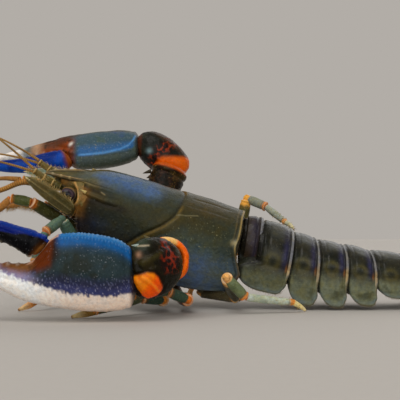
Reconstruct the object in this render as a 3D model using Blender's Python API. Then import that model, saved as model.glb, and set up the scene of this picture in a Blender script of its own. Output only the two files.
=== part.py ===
"""A cherax crayfish at life size, as a still solid model: one closed solid for each part of the body.

Lengths in this file are millimetres until the last step, which writes metres. +Z is up, the head points to -X and the
left side of the body faces -Y. The floor is Z = 0.
"""
import math

import bmesh
import bpy
import numpy as np
from mathutils import Vector

MM = 0.001

# ---------------------------------------------------------------- driving sizes
CARAPACE_LENGTH = 57.0  # rostrum tip to hind rim
BODY_PITCH = math.radians(16.0)  # head held up
BODY_ROLL = math.radians(33.0)  # cephalothorax leans over to its left
ROSTRUM_START = Vector((-43.8, 0.0, 32.5))  # body axis below the rostrum tip
GAP = 0.3  # between neighbouring solids
ORIGIN = Vector((-12.4, 0.46, 0.0))  # middle of the bounding box, on the floor

T = Vector((math.cos(BODY_PITCH), 0.0, -math.sin(BODY_PITCH)))
_UP0 = Vector((math.sin(BODY_PITCH), 0.0, math.cos(BODY_PITCH)))
_LEFT0 = Vector((0.0, -1.0, 0.0))
UP = _UP0 * math.cos(BODY_ROLL) + _LEFT0 * math.sin(BODY_ROLL)
LEFT = _LEFT0 * math.cos(BODY_ROLL) - _UP0 * math.sin(BODY_ROLL)


def body(s, a, d):
    """A point of the cephalothorax: s behind the rostrum tip, a to the left, d above the axis."""
    return ROSTRUM_START + T * s + LEFT * a + UP * d


# ---------------------------------------------------------------- carapace sizes, by distance s behind the rostrum tip
STATION = (10.0, 12.0, 16.0, 22.0, 28.0, 34.0, 40.0, 46.0, 52.0, 57.0)
HALF_WIDTH = (8.2, 8.9, 9.8, 10.7, 11.4, 12.2, 12.8, 13.0, 12.5, 11.6)
BACK_HEIGHT = (10.3, 11.0, 11.8, 12.0, 11.7, 11.1, 10.9, 10.9, 10.6, 10.3)
SKIRT_DEPTH = (6.6, 7.4, 8.7, 10.2, 11.1, 11.6, 11.5, 11.0, 10.1, 9.2)
ROOF_DEPTH = (3.0, 3.4, 4.6, 6.4, 7.6, 8.0, 8.0, 8.0, 7.6, 6.6)
ROSTRUM_HALF_WIDTH = 3.6
ROSTRUM_LENGTH = 12.2
SHELL_EDGE = 1.0  # thickness of the skirt at its lower rim


def at(s, table):
    return float(np.interp(s, STATION, table))


def carapace_ring(s_of, n):
    """Ring of 2 n + 6 points: n + 1 over the back from left rim to right rim and the rest under the roof."""
    pts = []
    for i in range(n + 1):
        f = math.radians(-128.0 + 256.0 * i / n)  # angle from the dorsal line, left side first
        f = -f
        s = s_of(abs(f))
        w, up, low = at(s, HALF_WIDTH), at(s, BACK_HEIGHT), at(s, SKIRT_DEPTH)
        if abs(f) <= math.pi / 2:
            a = w * math.copysign(abs(math.sin(f)) ** 0.92, f)
            d = up * math.cos(f) ** 0.90
        else:
            g = (abs(f) - math.pi / 2) / (math.radians(128.0) - math.pi / 2)
            a = math.copysign(w * (1.0 - 0.24 * g ** 2.2), f)
            d = -low * math.sin(g * math.pi / 2) ** 1.0 * (0.25 + 0.75 * g)
        pts.append(body(s, a, d))
    s = s_of(math.radians(128.0))
    w, low, roof = at(s, HALF_WIDTH), at(s, SKIRT_DEPTH), at(s, ROOF_DEPTH)
    rim = w * 0.76
    for a, d in ((-(rim - SHELL_EDGE), -low + 0.2), (-(rim - SHELL_EDGE - 0.3), -roof), (-rim * 0.35, -roof),
                 (rim * 0.35, -roof), (rim - SHELL_EDGE - 0.3, -roof), (rim - SHELL_EDGE, -low + 0.2)):
        pts.append(body(s, a, d))
    return pts


def groove_s(f):
    """The cervical groove: across the back, then sloping forward down the cheek."""
    deg = math.degrees(f)
    return float(np.interp(deg, (0, 30, 50, 75, 95, 128), (38.0, 37.6, 34.5, 28.5, 24.0, 19.0)))


def front_s(f):
    """Front rim of the head shield, hollowed behind each eye."""
    deg = math.degrees(f)
    return float(np.interp(deg, (0, 20, 32, 50, 66, 85, 128), (10.4, 10.4, 11.0, 11.9, 10.8, 10.6, 12.5)))


def rear_s(f):
    deg = math.degrees(f)
    return float(np.interp(deg, (0, 35, 70, 95, 115, 128), (55.5, 55.8, 54.8, 56.0, 58.6, 58.4)))


# ---------------------------------------------------------------- solids
def make(name, rings, material, shift0=None, shift1=None, skirt=(False, False), plates=0):
    """Closed solid through rings of equal point counts. Each end is closed by a fan to its middle, moved by a shift;
    an end with a skirt closes the two thin edges of the skirt by themselves, and plates is the number of faces that
    close the edge of each side plate of a tail ring in the same way."""
    bm = bmesh.new()
    layers = [[bm.verts.new(Vector(p) - ORIGIN) for p in ring] for ring in rings]
    for a, b in zip(layers, layers[1:]):
        n = len(a)
        for i in range(n):
            j = (i + 1) % n
            bm.faces.new((a[i], a[j], b[j], b[i]))
    for ring, forward, shift, edged in ((layers[0], False, shift0, skirt[0]), (layers[-1], True, shift1, skirt[1])):
        if edged:
            m = len(ring) - 7
            for four in ((ring[0], ring[1], ring[m + 5], ring[m + 6]), (ring[m - 1], ring[m], ring[m + 1], ring[m + 2])):
                bm.faces.new(four if forward else four[::-1])
            ring = ring[1:m] + ring[m + 2:m + 6]
        elif plates:
            k, e = len(ring), 20
            for j in range(plates):
                for face in ((j, j + 1, k - 1 - j, k - j), (e - j, e + j, e + j + 1, e - j - 1)):
                    corners = [ring[i % k] for i in face]
                    corners = [v for i, v in enumerate(corners) if v not in corners[:i]]
                    bm.faces.new(corners if forward else corners[::-1])
            ring = ring[plates:e - plates + 1] + ring[e + plates:k - plates + 1]
        middle = sum((v.co for v in ring), Vector()) / len(ring)
        tip = bm.verts.new(middle + (shift or Vector()))
        n = len(ring)
        for i in range(n):
            j = (i + 1) % n
            bm.faces.new((ring[i], ring[j], tip) if forward else (ring[j], ring[i], tip))
    return finish(name, bm, material)


def finish(name, bm, material):
    bmesh.ops.remove_doubles(bm, verts=bm.verts, dist=0.01)
    bmesh.ops.triangulate(bm, faces=bm.faces)
    if bm.calc_volume(signed=True) < 0:
        bmesh.ops.reverse_faces(bm, faces=bm.faces)
    bmesh.ops.scale(bm, vec=(MM, MM, MM), verts=bm.verts)
    mesh = bpy.data.meshes.new(name)
    bm.to_mesh(mesh)
    bm.free()
    ob = bpy.data.objects.new(name, mesh)
    bpy.context.scene.collection.objects.link(ob)
    ob.data.materials.append(material)
    return ob


def paint(name, colour, roughness=0.35, metallic=0.0):
    mat = bpy.data.materials.new(name)
    mat.use_nodes = True
    p = mat.node_tree.nodes["Principled BSDF"]
    p.inputs["Base Color"].default_value = (*colour, 1.0)
    p.inputs["Roughness"].default_value = roughness
    p.inputs["Metallic"].default_value = metallic
    mat.diffuse_color = (*colour, 1.0)
    return mat


def side_of(direction, up):
    d = direction.normalized()
    side = d.cross(Vector(up)).normalized()
    return d, side, side.cross(d).normalized()


def tube(points, across, high, up, n):
    """Rings of n points along a path; across and high are the half sizes at each point."""
    pts = [Vector(p) for p in points]
    rings = []
    for i, p in enumerate(pts):
        before = (p - pts[i - 1]).normalized() if i else None
        after = (pts[i + 1] - p).normalized() if i + 1 < len(pts) else None
        d = after if before is None else before if after is None else (before + after).normalized()
        _, side, top = side_of(d, up)
        stretch = 1.0
        if before is not None and after is not None:
            stretch = 1.0 / max(0.55, math.sqrt(max(0.0, (1 + before.dot(after)) / 2)))
        rings.append([p + side * (across[i] * math.cos(q)) + top * (high[i] * stretch * math.sin(q))
                      for q in (2 * math.pi * k / n for k in range(n))])
    return rings


def between(a, b, t):
    return Vector(a).lerp(Vector(b), t)


def oval(centre, axes, n, m):
    """Rings of an ellipsoid. axes: three half-size vectors; the first is the pole."""
    c, p, q, r = Vector(centre), *(Vector(v) for v in axes)
    return [[c - p * math.cos(u) + (q * math.cos(v) + r * math.sin(v)) * math.sin(u) for v in (2 * math.pi * k / n for k in range(n))]
            for u in (math.pi * i / m for i in range(1, m))]


def limb_rings(joints, sizes, up, n, start=0.0, stop=0.0):
    """Rings along a chain of joints. sizes: for each segment (start, middle, end) half widths."""
    pts, rad = [], []
    js = [Vector(j) for j in joints]
    first = (js[1] - js[0]).normalized()
    last = (js[-1] - js[-2]).normalized()
    js[0] = js[0] + first * start
    js[-1] = js[-1] - last * stop
    for k in range(len(js) - 1):
        a, b = js[k], js[k + 1]
        r0, r1, r2 = sizes[k]
        if k == 0:
            pts += [a, between(a, b, min(0.12, 0.5 / (b - a).length + 0.04))]
            rad += [r0 * 0.55, r0]
        pts += [between(a, b, 0.5)]
        rad += [r1]
        if k == len(js) - 2:
            if r2 > 0.6:
                pts += [between(a, b, 0.90), b]
                rad += [r2, r2 * 0.6]
            else:
                pts += [b]
                rad += [r2]
        else:
            pts += [b]
            rad += [min(r2, sizes[k + 1][0])]
    return tube(pts, rad, rad, up, n)


def limb(name, joints, sizes, up, material, n=8, start=0.0, stop=0.0):
    return make(name, limb_rings(joints, sizes, up, n, start, stop), material)


def clear():
    for ob in list(bpy.data.objects):
        bpy.data.objects.remove(ob, do_unlink=True)


# ---------------------------------------------------------------- cephalothorax
def head_shield(mat):
    n = 20
    rings = []
    # The rostrum: a trough with raised rims that widens back to the head.
    steps = (0.0, 0.25, 0.6, 1.0)
    total = n + 1 + 6
    for t in steps:
        s = 10.3 - (1.0 - t) * ROSTRUM_LENGTH
        half = 0.5 + (ROSTRUM_HALF_WIDTH - 0.5) * t ** 0.75
        mid = 7.2 + 3.0 * t ** 0.9
        thick = 0.8 + 1.5 * t
        ring = []
        for i in range(n + 1):
            x = 1.0 - 2.0 * i / n
            ring.append(body(s, half * math.sin(x * math.pi / 2), mid - 0.35 * t * (1 - x * x) + 0.2 * abs(x)))
        for i in range(6):
            x = -1.0 + 2.0 * (i + 0.5) / 6
            ring.append(body(s, half * 0.9 * x, mid - thick * (1 - 0.35 * x * x)))
        rings.append(ring)
    for t in (0.0, 0.12, 0.3, 0.52, 0.76, 1.0):
        rings.append(carapace_ring(lambda f, t=t: front_s(f) + (groove_s(f) - GAP / 2 - front_s(f)) * t, n))
    return make("carapace_head", rings, mat, shift1=T * -2.0, skirt=(False, True))


def thorax_shield(mat):
    rings = [carapace_ring(lambda f, t=t: groove_s(f) + GAP / 2 + (rear_s(f) - groove_s(f) - GAP / 2) * t, 20)
             for t in (0.0, 0.25, 0.5, 0.75, 0.93, 1.0)]
    return make("carapace_thorax", rings, mat, shift0=T * 2.0, skirt=(True, True))


# ---------------------------------------------------------------- eyes and feelers
EYE_PLACE = (6.7, 5.9, 6.3)  # s, a, d of the left eye's middle
EYE_HALF = (2.25, 1.85, 1.75)  # along the body, across it, up


def eyes(black, olive):
    for side, word in ((1, "left"), (-1, "right")):
        s, a, d = EYE_PLACE
        make("eye_" + word, oval(body(s, a * side, d), (LEFT * EYE_HALF[1], T * EYE_HALF[0], UP * EYE_HALF[2]), 12, 8), black)
        limb("eyestalk_" + word, [body(s + 0.3, side * (a - 5.3), d - 0.9), body(s + 0.1, side * (a - EYE_HALF[1] - GAP), d)],
             [(1.0, 1.25, 1.45)], UP, olive, n=8)


def feeler(name, points, thick, thin, material, n=6):
    k = len(points) - 1
    radii = [thick + (thin - thick) * (i / k) ** 0.8 for i in range(k + 1)]
    return make(name, tube(points, radii, radii, (0.0, 0.2, 1.0), n), material)


def leaf(name, base, tip, half_widths, half_thick, normal, material, n=8):
    """Flat blade from base to tip; half widths and half thicknesses are given at equal steps."""
    k = len(half_widths)
    pts = [between(base, tip, i / (k - 1)) for i in range(k)]
    return make(name, tube(pts, half_widths, half_thick, normal, n), material)


ANTENNULE_LENGTH = 8.2
ANTENNA = {
    "left": [(-46.4, -9.4, 35.9), (-49.3, -10.6, 35.5), (-53.8, -12.6, 33.5), (-62.0, -17.0, 30.4), (-73.0, -24.0, 28.4),
             (-86.0, -33.5, 28.0), (-99.0, -44.0, 29.2)],
    "right": [(-52.2, 1.2, 37.0), (-55.0, 3.2, 37.4), (-58.5, 7.4, 37.8), (-63.5, 14.0, 38.0), (-71.0, 24.0, 38.0),
              (-82.0, 35.0, 37.6), (-94.0, 45.0, 37.0)],
}


def feelers(olive, orange, pale):
    # Antennules: a short three-jointed stem and two thin branches each.
    left_tip = body(-4.6, 2.9, 8.4)
    right_tip = body(-4.9, -2.7, 8.2)
    limb("antennule_left_stem", [body(2.6, 2.2, 5.2), body(-0.6, 2.6, 6.4), left_tip], [(1.2, 1.25, 1.1), (1.1, 1.0, 0.8)], UP, olive, n=8)
    limb("antennule_right_stem", [body(2.6, -2.2, 5.2), body(-0.6, -2.6, 6.4), right_tip], [(1.2, 1.25, 1.1), (1.1, 1.0, 0.8)], UP, olive, n=8)
    out = (left_tip - body(-0.6, 2.6, 6.4)).normalized()
    for word, tip, upper, lower in (("left", left_tip, (-64.0, -9.5, 53.5), (-66.5, -11.0, 43.0)),
                                    ("right", right_tip, (-63.0, -1.5, 51.0), (-65.0, -0.5, 45.0))):
        for branch, end, shift in (("outer", upper, UP * 0.42), ("inner", lower, UP * -0.42)):
            a = tip + out * GAP * 1.6 + shift * 1.15
            e = Vector(end)
            pts = [a, between(a, e, 0.25) + Vector((0, 0, 0.5)), between(a, e, 0.6) + Vector((0, 0, 0.6)), e]
            feeler("antennule_%s_%s" % (word, branch), pts, 0.38, 0.26, orange, n=5)
    # Antennae: three thick joints, then a long whip.
    limb("antenna_left_base", [body(9.6, 6.3, 1.6), body(6.0, 6.5, 2.5), body(1.5, 6.6, 4.5), (-45.9, -9.2, 35.8)],
         [(1.9, 2.2, 2.0), (1.9, 1.8, 1.5), (1.4, 1.25, 1.15)], UP, olive, n=8)
    limb("antenna_right_base", [body(9.6, -6.3, 1.6), body(6.0, -6.0, 2.0), (-43.5, 2.6, 35.6), (-51.6, 0.8, 36.9)],
         [(1.9, 2.2, 2.0), (1.9, 1.8, 1.5), (1.4, 1.25, 1.15)], UP, olive, n=8)
    for word in ("left", "right"):
        feeler("antenna_%s_whip" % word, ANTENNA[word], 1.0 if word == "left" else 0.8, 0.3, orange, n=6)
    leaf("antenna_left_scale", body(9.2, 9.2, 3.2), (-47.4, -12.6, 36.4), (1.0, 1.9, 2.1, 1.6, 0.5), (0.6, 0.55, 0.5, 0.45, 0.4),
         LEFT, olive)
    leaf("antenna_right_scale", body(9.2, -10.0, 2.6), (-51.4, 4.8, 39.6), (0.8, 1.6, 2.0, 1.6, 0.5), (0.6, 0.55, 0.5, 0.45, 0.4),
         (0.1, -1.0, 0.35), pale)


def mouth(olive):
    rings = []
    for s, half, top, low in ((8.8, 2.2, -0.6, -2.2), (9.4, 4.0, 0.0, -2.9), (12.0, 3.8, -3.8, -5.1), (16.0, 3.6, -5.0, -6.6), (20.0, 3.2, -6.4, -7.4)):
        mid, tall = (top + low) / 2, (top - low) / 2
        rings.append([body(s, half * math.cos(q), mid + tall * math.sin(q)) for q in (2 * math.pi * k / 8 for k in range(8))])
    make("mouth", rings, olive)
    limb("maxilliped_left", [body(19.5, 3.0, -9.9), body(12.0, 3.3, -7.4), (-40.0, -3.4, 25.6), (-46.9, -9.0, 30.0), (-52.6, -9.2, 31.1), (-57.8, -8.0, 26.6)],
         [(1.3, 1.6, 1.7), (1.7, 1.8, 1.9), (1.9, 1.75, 1.4), (1.3, 1.35, 1.2), (1.1, 1.0, 0.55)], UP, olive, n=8)
    limb("maxilliped_right", [body(19.5, -3.0, -9.9), body(12.0, -3.3, -7.4), (-38.6, 2.6, 26.6), (-45.6, 0.4, 29.4), (-51.2, 0.6, 30.4), (-55.4, 1.6, 25.6)],
         [(1.3, 1.6, 1.7), (1.7, 1.8, 1.9), (1.9, 1.75, 1.4), (1.3, 1.35, 1.2), (1.1, 1.0, 0.55)], UP, olive, n=8)


def sternum(olive):
    rings = []
    for s, half, low in ((22.5, 1.0, 9.9), (26.0, 1.6, 11.0), (34.0, 2.0, 11.4), (44.0, 2.2, 11.2), (52.0, 2.4, 9.8), (54.2, 1.9, 8.6)):
        top = at(s, ROOF_DEPTH) + GAP
        mid, tall = -(top + low) / 2, (low - top) / 2
        rings.append([body(s, half * math.cos(q), mid + tall * math.sin(q)) for q in (2 * math.pi * k / 8 for k in range(8))])
    make("breastplate", rings, olive)


# ---------------------------------------------------------------- chelipeds
# Claw outline by distance from the wrist: outer margin, inner margin, half thickness.
CLAW_X = (0.0, 0.5, 1.5, 3.8, 8.5, 13.5, 18.5, 20.3, 22.4, 24.7, 27.0, 32.5, 38.0, 43.5, 47.5, 50.0)
CLAW_OUTER = (-5.2, -6.4, -7.1, -7.7, -8.0, -7.7, -7.1, -6.8, -6.4, -5.9, -5.1, -2.6, -0.5, 0.9, 1.9, 3.0)
CLAW_INNER = (4.2, 6.0, 7.6, 9.2, 10.5, 11.0, 10.7, 9.7, 6.9, 4.2, 3.6, 3.6, 3.5, 3.6, 3.7, 3.6)
CLAW_THICK = (2.2, 3.3, 4.0, 4.6, 5.2, 5.4, 5.1, 4.9, 4.5, 4.0, 3.5, 2.9, 2.3, 1.6, 0.9, 0.3)
# Finger by distance from the hinge: bow away from its chord, half width, half thickness.
FINGER_X = (0.0, 0.6, 3.0, 6.0, 10.5, 16.0, 21.0, 25.5, 28.4)
FINGER_BOW = (0.0, 0.1, 0.8, 1.4, 2.3, 2.8, 2.4, 1.3, 0.0)
FINGER_WIDE = (2.6, 3.3, 3.1, 2.7, 2.25, 1.85, 1.5, 1.0, 0.35)
FINGER_THICK = (1.9, 2.7, 2.9, 2.6, 2.2, 1.8, 1.4, 0.9, 0.35)


def lens(q, wide, tall, power=1.8):
    c, s = math.cos(q), math.sin(q)
    e = 2.0 / power
    return math.copysign(abs(c) ** e, c) * wide, math.copysign(abs(s) ** e, s) * tall


class Claw:
    """Frame of one claw: x to the fingertips, y to the inner margin, z out of the upper face."""

    def __init__(self, word, wrist, along, inner, opening):
        self.word, self.wrist, self.opening = word, Vector(wrist), opening
        self.x = Vector(along).normalized()
        self.y = (Vector(inner) - self.x * Vector(inner).dot(self.x)).normalized()
        self.z = self.x.cross(self.y)
        if self.z.y > 0 and self.z.z < 0.5:
            self.z = -self.z

    def place(self, x, y, z):
        return self.wrist + self.x * x + self.y * y + self.z * z


CLAWS = {
    "left": Claw("left", (-15.6, -38.5, 10.4), (-1.0, -0.03, 0.0), (0.0, 0.0, 1.0), math.radians(10.5)),
    "right": Claw("right", (-19.6, 28.5, 50.1), (-1.0, 0.0, -0.075), (0.0, -0.857, -0.515), math.radians(-3.0)),
}


def claw(c, blue, n=12):
    rings = []
    for x, lo, hi, thick in zip(CLAW_X, CLAW_OUTER, CLAW_INNER, CLAW_THICK):
        mid, half = (lo + hi) / 2, (hi - lo) / 2
        ring = []
        for k in range(n):
            y, z = lens(2 * math.pi * k / n, half, thick)
            ring.append(c.place(x, mid + y, z))
        rings.append(ring)
    make("claw_" + c.word, rings, blue)
    # The hinged finger, on a line from the middle of the palm's slanting end.
    ca, sa = math.cos(c.opening), math.sin(c.opening)
    hx, hy = 23.05, 7.55
    rings = []
    for x, bow, wide, thick in zip(FINGER_X, FINGER_BOW, FINGER_WIDE, FINGER_THICK):
        lean = max(0.0, 1.0 - x / 5.0) * math.radians(32.0)  # the base follows the slant of the palm
        ring = []
        for k in range(10):
            y, z = lens(2 * math.pi * k / 10, wide, thick, 2.0)
            px, py = x - y * math.sin(lean), bow + y * math.cos(lean)
            ring.append(c.place(hx + px * ca - py * sa, hy + px * sa + py * ca, z))
        rings.append(ring)
    make("finger_" + c.word, rings, blue)


def cut(name, rings, material, planes):
    """Closed solid through rings, cut flat by planes (point, outward normal)."""
    ob = make(name, rings, material)
    bm = bmesh.new()
    bm.from_mesh(ob.data)
    for point, normal in planes:
        geom = bm.verts[:] + bm.edges[:] + bm.faces[:]
        done = bmesh.ops.bisect_plane(bm, geom=geom, dist=1e-7, plane_co=(Vector(point) - ORIGIN) * MM, plane_no=normal, clear_outer=True)
        rim = [e for e in done["geom_cut"] if isinstance(e, bmesh.types.BMEdge)]
        bmesh.ops.holes_fill(bm, edges=rim, sides=0)
    bmesh.ops.remove_doubles(bm, verts=bm.verts, dist=1e-5)
    bmesh.ops.triangulate(bm, faces=bm.faces)
    if bm.calc_volume(signed=True) < 0:
        bmesh.ops.reverse_faces(bm, faces=bm.faces)
    bm.to_mesh(ob.data)
    bm.free()
    return ob


# Merus end, and carpus as an ellipsoid (middle, three half axes), for each arm.
ARMS = {
    "left": dict(coxa=body(24.4, 5.0, -9.4), under=body(25.2, 6.6, -14.5), hip=(-19.6, -8.4, 8.8), elbow=(-7.4, -32.0, 15.0),
                 up=(0.0, 0.2, 1.0), carpus=(-12.4, -36.3, 12.6), axes=((-4.6, -3.7, -1.2), (-3.1, 3.9, 0.0), (-0.9, -0.6, 7.4))),
    "right": dict(coxa=body(24.4, -5.0, -9.4), under=body(25.6, -6.6, -14.2), hip=(-18.2, 18.2, 17.0), elbow=(-9.6, 24.6, 41.6),
                  up=(1.0, 0.2, 0.0), carpus=(-13.0, 27.0, 47.3), axes=((7.0, -0.7, -5.3), (3.5, 0.0, 4.6), (0.0, 5.3, 0.0))),
}


def arm(word, dark, orange):
    """Coxa with ischium, merus, carpus."""
    a = ARMS[word]
    hip, elbow = Vector(a["hip"]), Vector(a["elbow"])
    d = (elbow - hip).normalized()
    cut("arm_%s_root" % word, limb_rings([a["coxa"], a["under"], hip], [(2.0, 2.2, 2.1), (2.2, 2.4, 2.4)], (0.0, 0.0, 1.0), 8), dark, [(hip, d)])
    pts = [hip + d * GAP, hip + d * 1.2, between(hip, elbow, 0.35), between(hip, elbow, 0.7), elbow - d * 1.4, elbow]
    make("arm_%s_merus" % word, tube(pts, (2.0, 2.7, 3.5, 4.5, 5.2, 4.7), (2.2, 3.0, 4.2, 5.2, 5.5, 5.0), a["up"], 10), dark)
    c = CLAWS[word]
    cut("arm_%s_carpus" % word, oval(a["carpus"], a["axes"], 14, 9), orange,
        [(elbow + d * GAP, -d), (c.wrist - c.x * GAP, c.x)])


# ---------------------------------------------------------------- walking legs, by joints
LEG_DROP = {"left": 3.6, "right": 2.8}
LEG_ROOT_S = {2: 30.5, 3: 36.3, 4: 42.2, 5: 50.5}
LEGS = {
    ("left", 2): ((-27.6, -5.0, 4.4), (-37.6, -14.0, 25.2), (-41.4, -18.0, 21.6), (-43.6, -22.0, 13.6), (-45.4, -24.0, 7.6)),
    ("left", 3): ((-11.6, -4.8, 3.3), (-9.8, -15.6, 3.4), (-15.3, -21.0, 4.3), (-26.6, -30.6, 1.8), (-32.2, -31.6, 0.0)),
    ("left", 4): ((-5.4, -4.8, 3.1), (-3.2, -18.6, 3.7), (-8.4, -22.8, 6.2), (-17.2, -29.2, 5.4), (-21.4, -30.2, 3.6)),
    ("left", 5): ((10.0, -8.0, 3.4), (6.9, -22.0, 9.8), (12.0, -19.4, 4.4), (25.0, -15.6, 2.8), (28.7, -13.4, 0.0)),
    ("right", 2): ((-21.0, 14.5, 12.0), (-32.5, 9.5, 17.4), (-38.6, 2.5, 12.4), (-44.4, -9.6, 3.0), (-49.6, -12.6, 0.0)),
    ("right", 3): ((-9.0, 18.2, 11.0), (-8.5, 29.0, 19.5), (-4.5, 28.6, 12.5), (-2.6, 24.0, 3.8), (-4.2, 22.0, 0.0)),
    ("right", 4): ((0.6, 17.6, 10.0), (3.6, 29.8, 18.5), (7.6, 28.2, 12.2), (8.8, 20.4, 4.4), (12.4, 18.2, 0.0)),
    ("right", 5): ((10.6, 17.8, 14.4), (14.5, 17.2, 32.3), (20.3, 13.8, 29.5), (25.6, 8.0, 24.6), (27.9, 5.6, 22.5)),
}
KNEE = 1.6  # from the knee point to each of the two solids that meet there
FOLDED_KNEE = 2.1  # the same where the leg is folded back on itself
FOOT = 0.42  # half width of the flat under each toe


def leg(word, number, upper_mat, lower_mat):
    side = 1 if word == "left" else -1
    hip, knee, wrist, toe, tip = (Vector(p) for p in LEGS[(word, number)])
    s = LEG_ROOT_S[number]
    gap = FOLDED_KNEE if (word, number) == ("left", 5) else KNEE
    coxa = body(s, side * 5.0, -at(s, ROOF_DEPTH) - 1.6)
    under = body(s, side * 5.6, -at(s, SKIRT_DEPTH) - LEG_DROP[word] - {("left", 2): 3.2, ("left", 5): 0.6}.get((word, number), 0.0))
    limb("leg_%s_%d_upper" % (word, number), [coxa, under, hip, knee], [(1.7, 1.6, 1.45), (1.35, 1.3, 1.3), (1.4, 1.75, 1.5)],
         UP, upper_mat, n=7, stop=gap)
    d = (wrist - knee).normalized()
    k = knee + d * gap
    pts = [k, between(k, wrist, 0.22), between(k, wrist, 0.6), wrist, between(wrist, toe, 0.45), between(wrist, toe, 0.8), toe]
    rad = [0.8, 1.35, 1.4, 1.15, 1.15, 0.95, 0.8]
    if tip.z < 0.01:  # a small flat under the toe
        pts += [between(toe, tip, 0.6)]
        rad += [0.6]
        rings = tube(pts, rad, rad, (0.1, 0.15, 1.0), 7)
        last = rings[-1]
        mid = sum(last, Vector()) / len(last)
        flat = []
        for p in last:
            q = p - mid
            flat.append(Vector((tip.x + q.x * FOOT / 0.6, tip.y + q.y * FOOT / 0.6, 0.0)))
        # The flat needs an area even where the last ring stands nearly upright.
        centre = Vector((tip.x, tip.y, 0.0))
        order = [math.atan2((q - centre).y, (q - centre).x) for q in flat]
        turn = 1.0
        area = sum(flat[i].x * flat[(i + 1) % 7].y - flat[(i + 1) % 7].x * flat[i].y for i in range(7))
        turn = 1.0 if area > 0 else -1.0
        flat = [centre + Vector((math.cos(order[0] + turn * 2 * math.pi * i / 7), math.sin(order[0] + turn * 2 * math.pi * i / 7), 0.0)) * FOOT for i in range(7)]
        rings.append(flat)
    else:
        pts += [between(toe, tip, 0.5), tip]
        rad += [0.6, 0.35]
        rings = tube(pts, rad, rad, (0.1, 0.15, 1.0), 7)
    make("leg_%s_%d_lower" % (word, number), rings, lower_mat)


# ---------------------------------------------------------------- abdomen
# For each ring of the tail: front and rear middle (x, z), tilt of its plane front and rear, roll, half width, arch height,
# depth of the side plates, how far their lower part slides back.
FORWARD = {"tail_ring_2": (5.0, 2.6)}  # the second ring's side plates reach forward over the first ring: left, right
RINGS = (
    ("tail_ring_1", (12.2, 16.9), (16.4, 16.3), (9, 9), 22, (7.4, 8.2), (9.8, 9.8), 3.2, (0.0, 0.0)),
    ("tail_ring_2", (16.9, 16.2), (25.0, 14.1), (9, 11), 15, (10.6, 11.4), (9.3, 8.4), 8.3, (0.0, 0.8)),
    ("tail_ring_3", (25.5, 14.0), (32.7, 12.6), (10, 5), 9, (11.2, 11.4), (7.9, 7.2), 10.4, (1.3, 1.5)),
    ("tail_ring_4", (33.2, 12.5), (40.6, 11.5), (5, 4), 6, (11.2, 11.1), (7.2, 6.5), 10.0, (1.5, 1.6)),
    ("tail_ring_5", (41.1, 11.4), (48.6, 10.2), (4, 0), 5, (10.9, 10.5), (6.9, 6.2), 8.7, (1.6, 1.6)),
    ("tail_ring_6", (49.1, 10.1), (58.4, 9.4), (0, -3), 5, (10.1, 8.6), (6.5, 5.9), 5.9, (1.6, 1.0)),
)


def tail_ring(spec, material, n=14):
    name, front, rear, tilt, roll, wide, arch, drop, slide = spec
    rings = []
    for t in (0.0, 0.08, 0.3, 0.55, 0.8, 0.94, 1.0):
        x = front[0] + (rear[0] - front[0]) * t
        z = front[1] + (rear[1] - front[1]) * t
        lean = math.radians(tilt[0] + (tilt[1] - tilt[0]) * t)
        r = math.radians(roll)
        w = wide[0] + (wide[1] - wide[0]) * t
        h = arch[0] + (arch[1] - arch[0]) * t + 0.35 * math.sin(math.pi * t)
        ease = 1.0 - 0.06 * (1.0 if t in (0.0, 1.0) else 0.0)
        w, h = w * ease, h * ease
        place = (t - (0.47 if name in FORWARD else 0.5)) / 0.56
        deep = drop * (0.12 + 0.88 * max(0.0, 1.0 - abs(place) ** 3.0) ** 0.5) if drop > 3 else drop
        reach = [v * max(0.0, 1.0 - t / 0.62) ** 1.3 for v in FORWARD.get(name, (0.0, 0.0))]
        upward = Vector((math.sin(lean), 0.0, math.cos(lean)))
        left = Vector((0.0, -1.0, 0.0))
        up = upward * math.cos(r) + left * math.sin(r)
        out = left * math.cos(r) - upward * math.sin(r)
        along = Vector((math.cos(lean), 0.0, -math.sin(lean)))
        mid = Vector((x, 0.0, z))
        ring = []

        def put(a, d, reaches=True):
            below = max(0.0, -d) / max(drop, 3.0)
            back = (slide[0] + (slide[1] - slide[0]) * t) * max(0.0, (below - 0.45) / 0.55) ** 1.2
            outer = min(max((0.2 - d) / 2.2, 0.0), 1.0) if reaches and abs(a) > 0.6 * w else 0.0
            back -= reach[0 if a > 0 else 1] * outer * outer * (3 - 2 * outer)
            ring.append(mid + out * a + up * d + along * back)

        for sign in (1, -1):  # left side plate, then over the back, then the right one
            plate = [(0.90, 1.0), (0.99, 0.82), (1.03, 0.45)]
            if sign == 1:
                for f, g in plate:
                    put(w * f, -deep * g)
                for i in range(n + 1):
                    q = math.pi * i / n
                    put(w * math.cos(q), h * math.sin(q) ** 0.92 if 0 < i < n else 0.0)
            else:
                for f, g in reversed(plate):
                    put(-w * f, -deep * g)
        put(-w * 0.82, -deep * 0.97)
        put(-w * 0.84, -min(deep * 0.7, 2.6))
        if name in FORWARD:
            put(-w * 0.82, -1.9, False)
        put(-w * 0.3, -2.9)
        put(w * 0.3, -2.9)
        if name in FORWARD:
            put(w * 0.82, -1.9, False)
        put(w * 0.84, -min(deep * 0.7, 2.6))
        put(w * 0.82, -deep * 0.97)
        rings.append(ring)
    return make(name, rings, material, plates=3 if name in FORWARD else 2)


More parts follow.
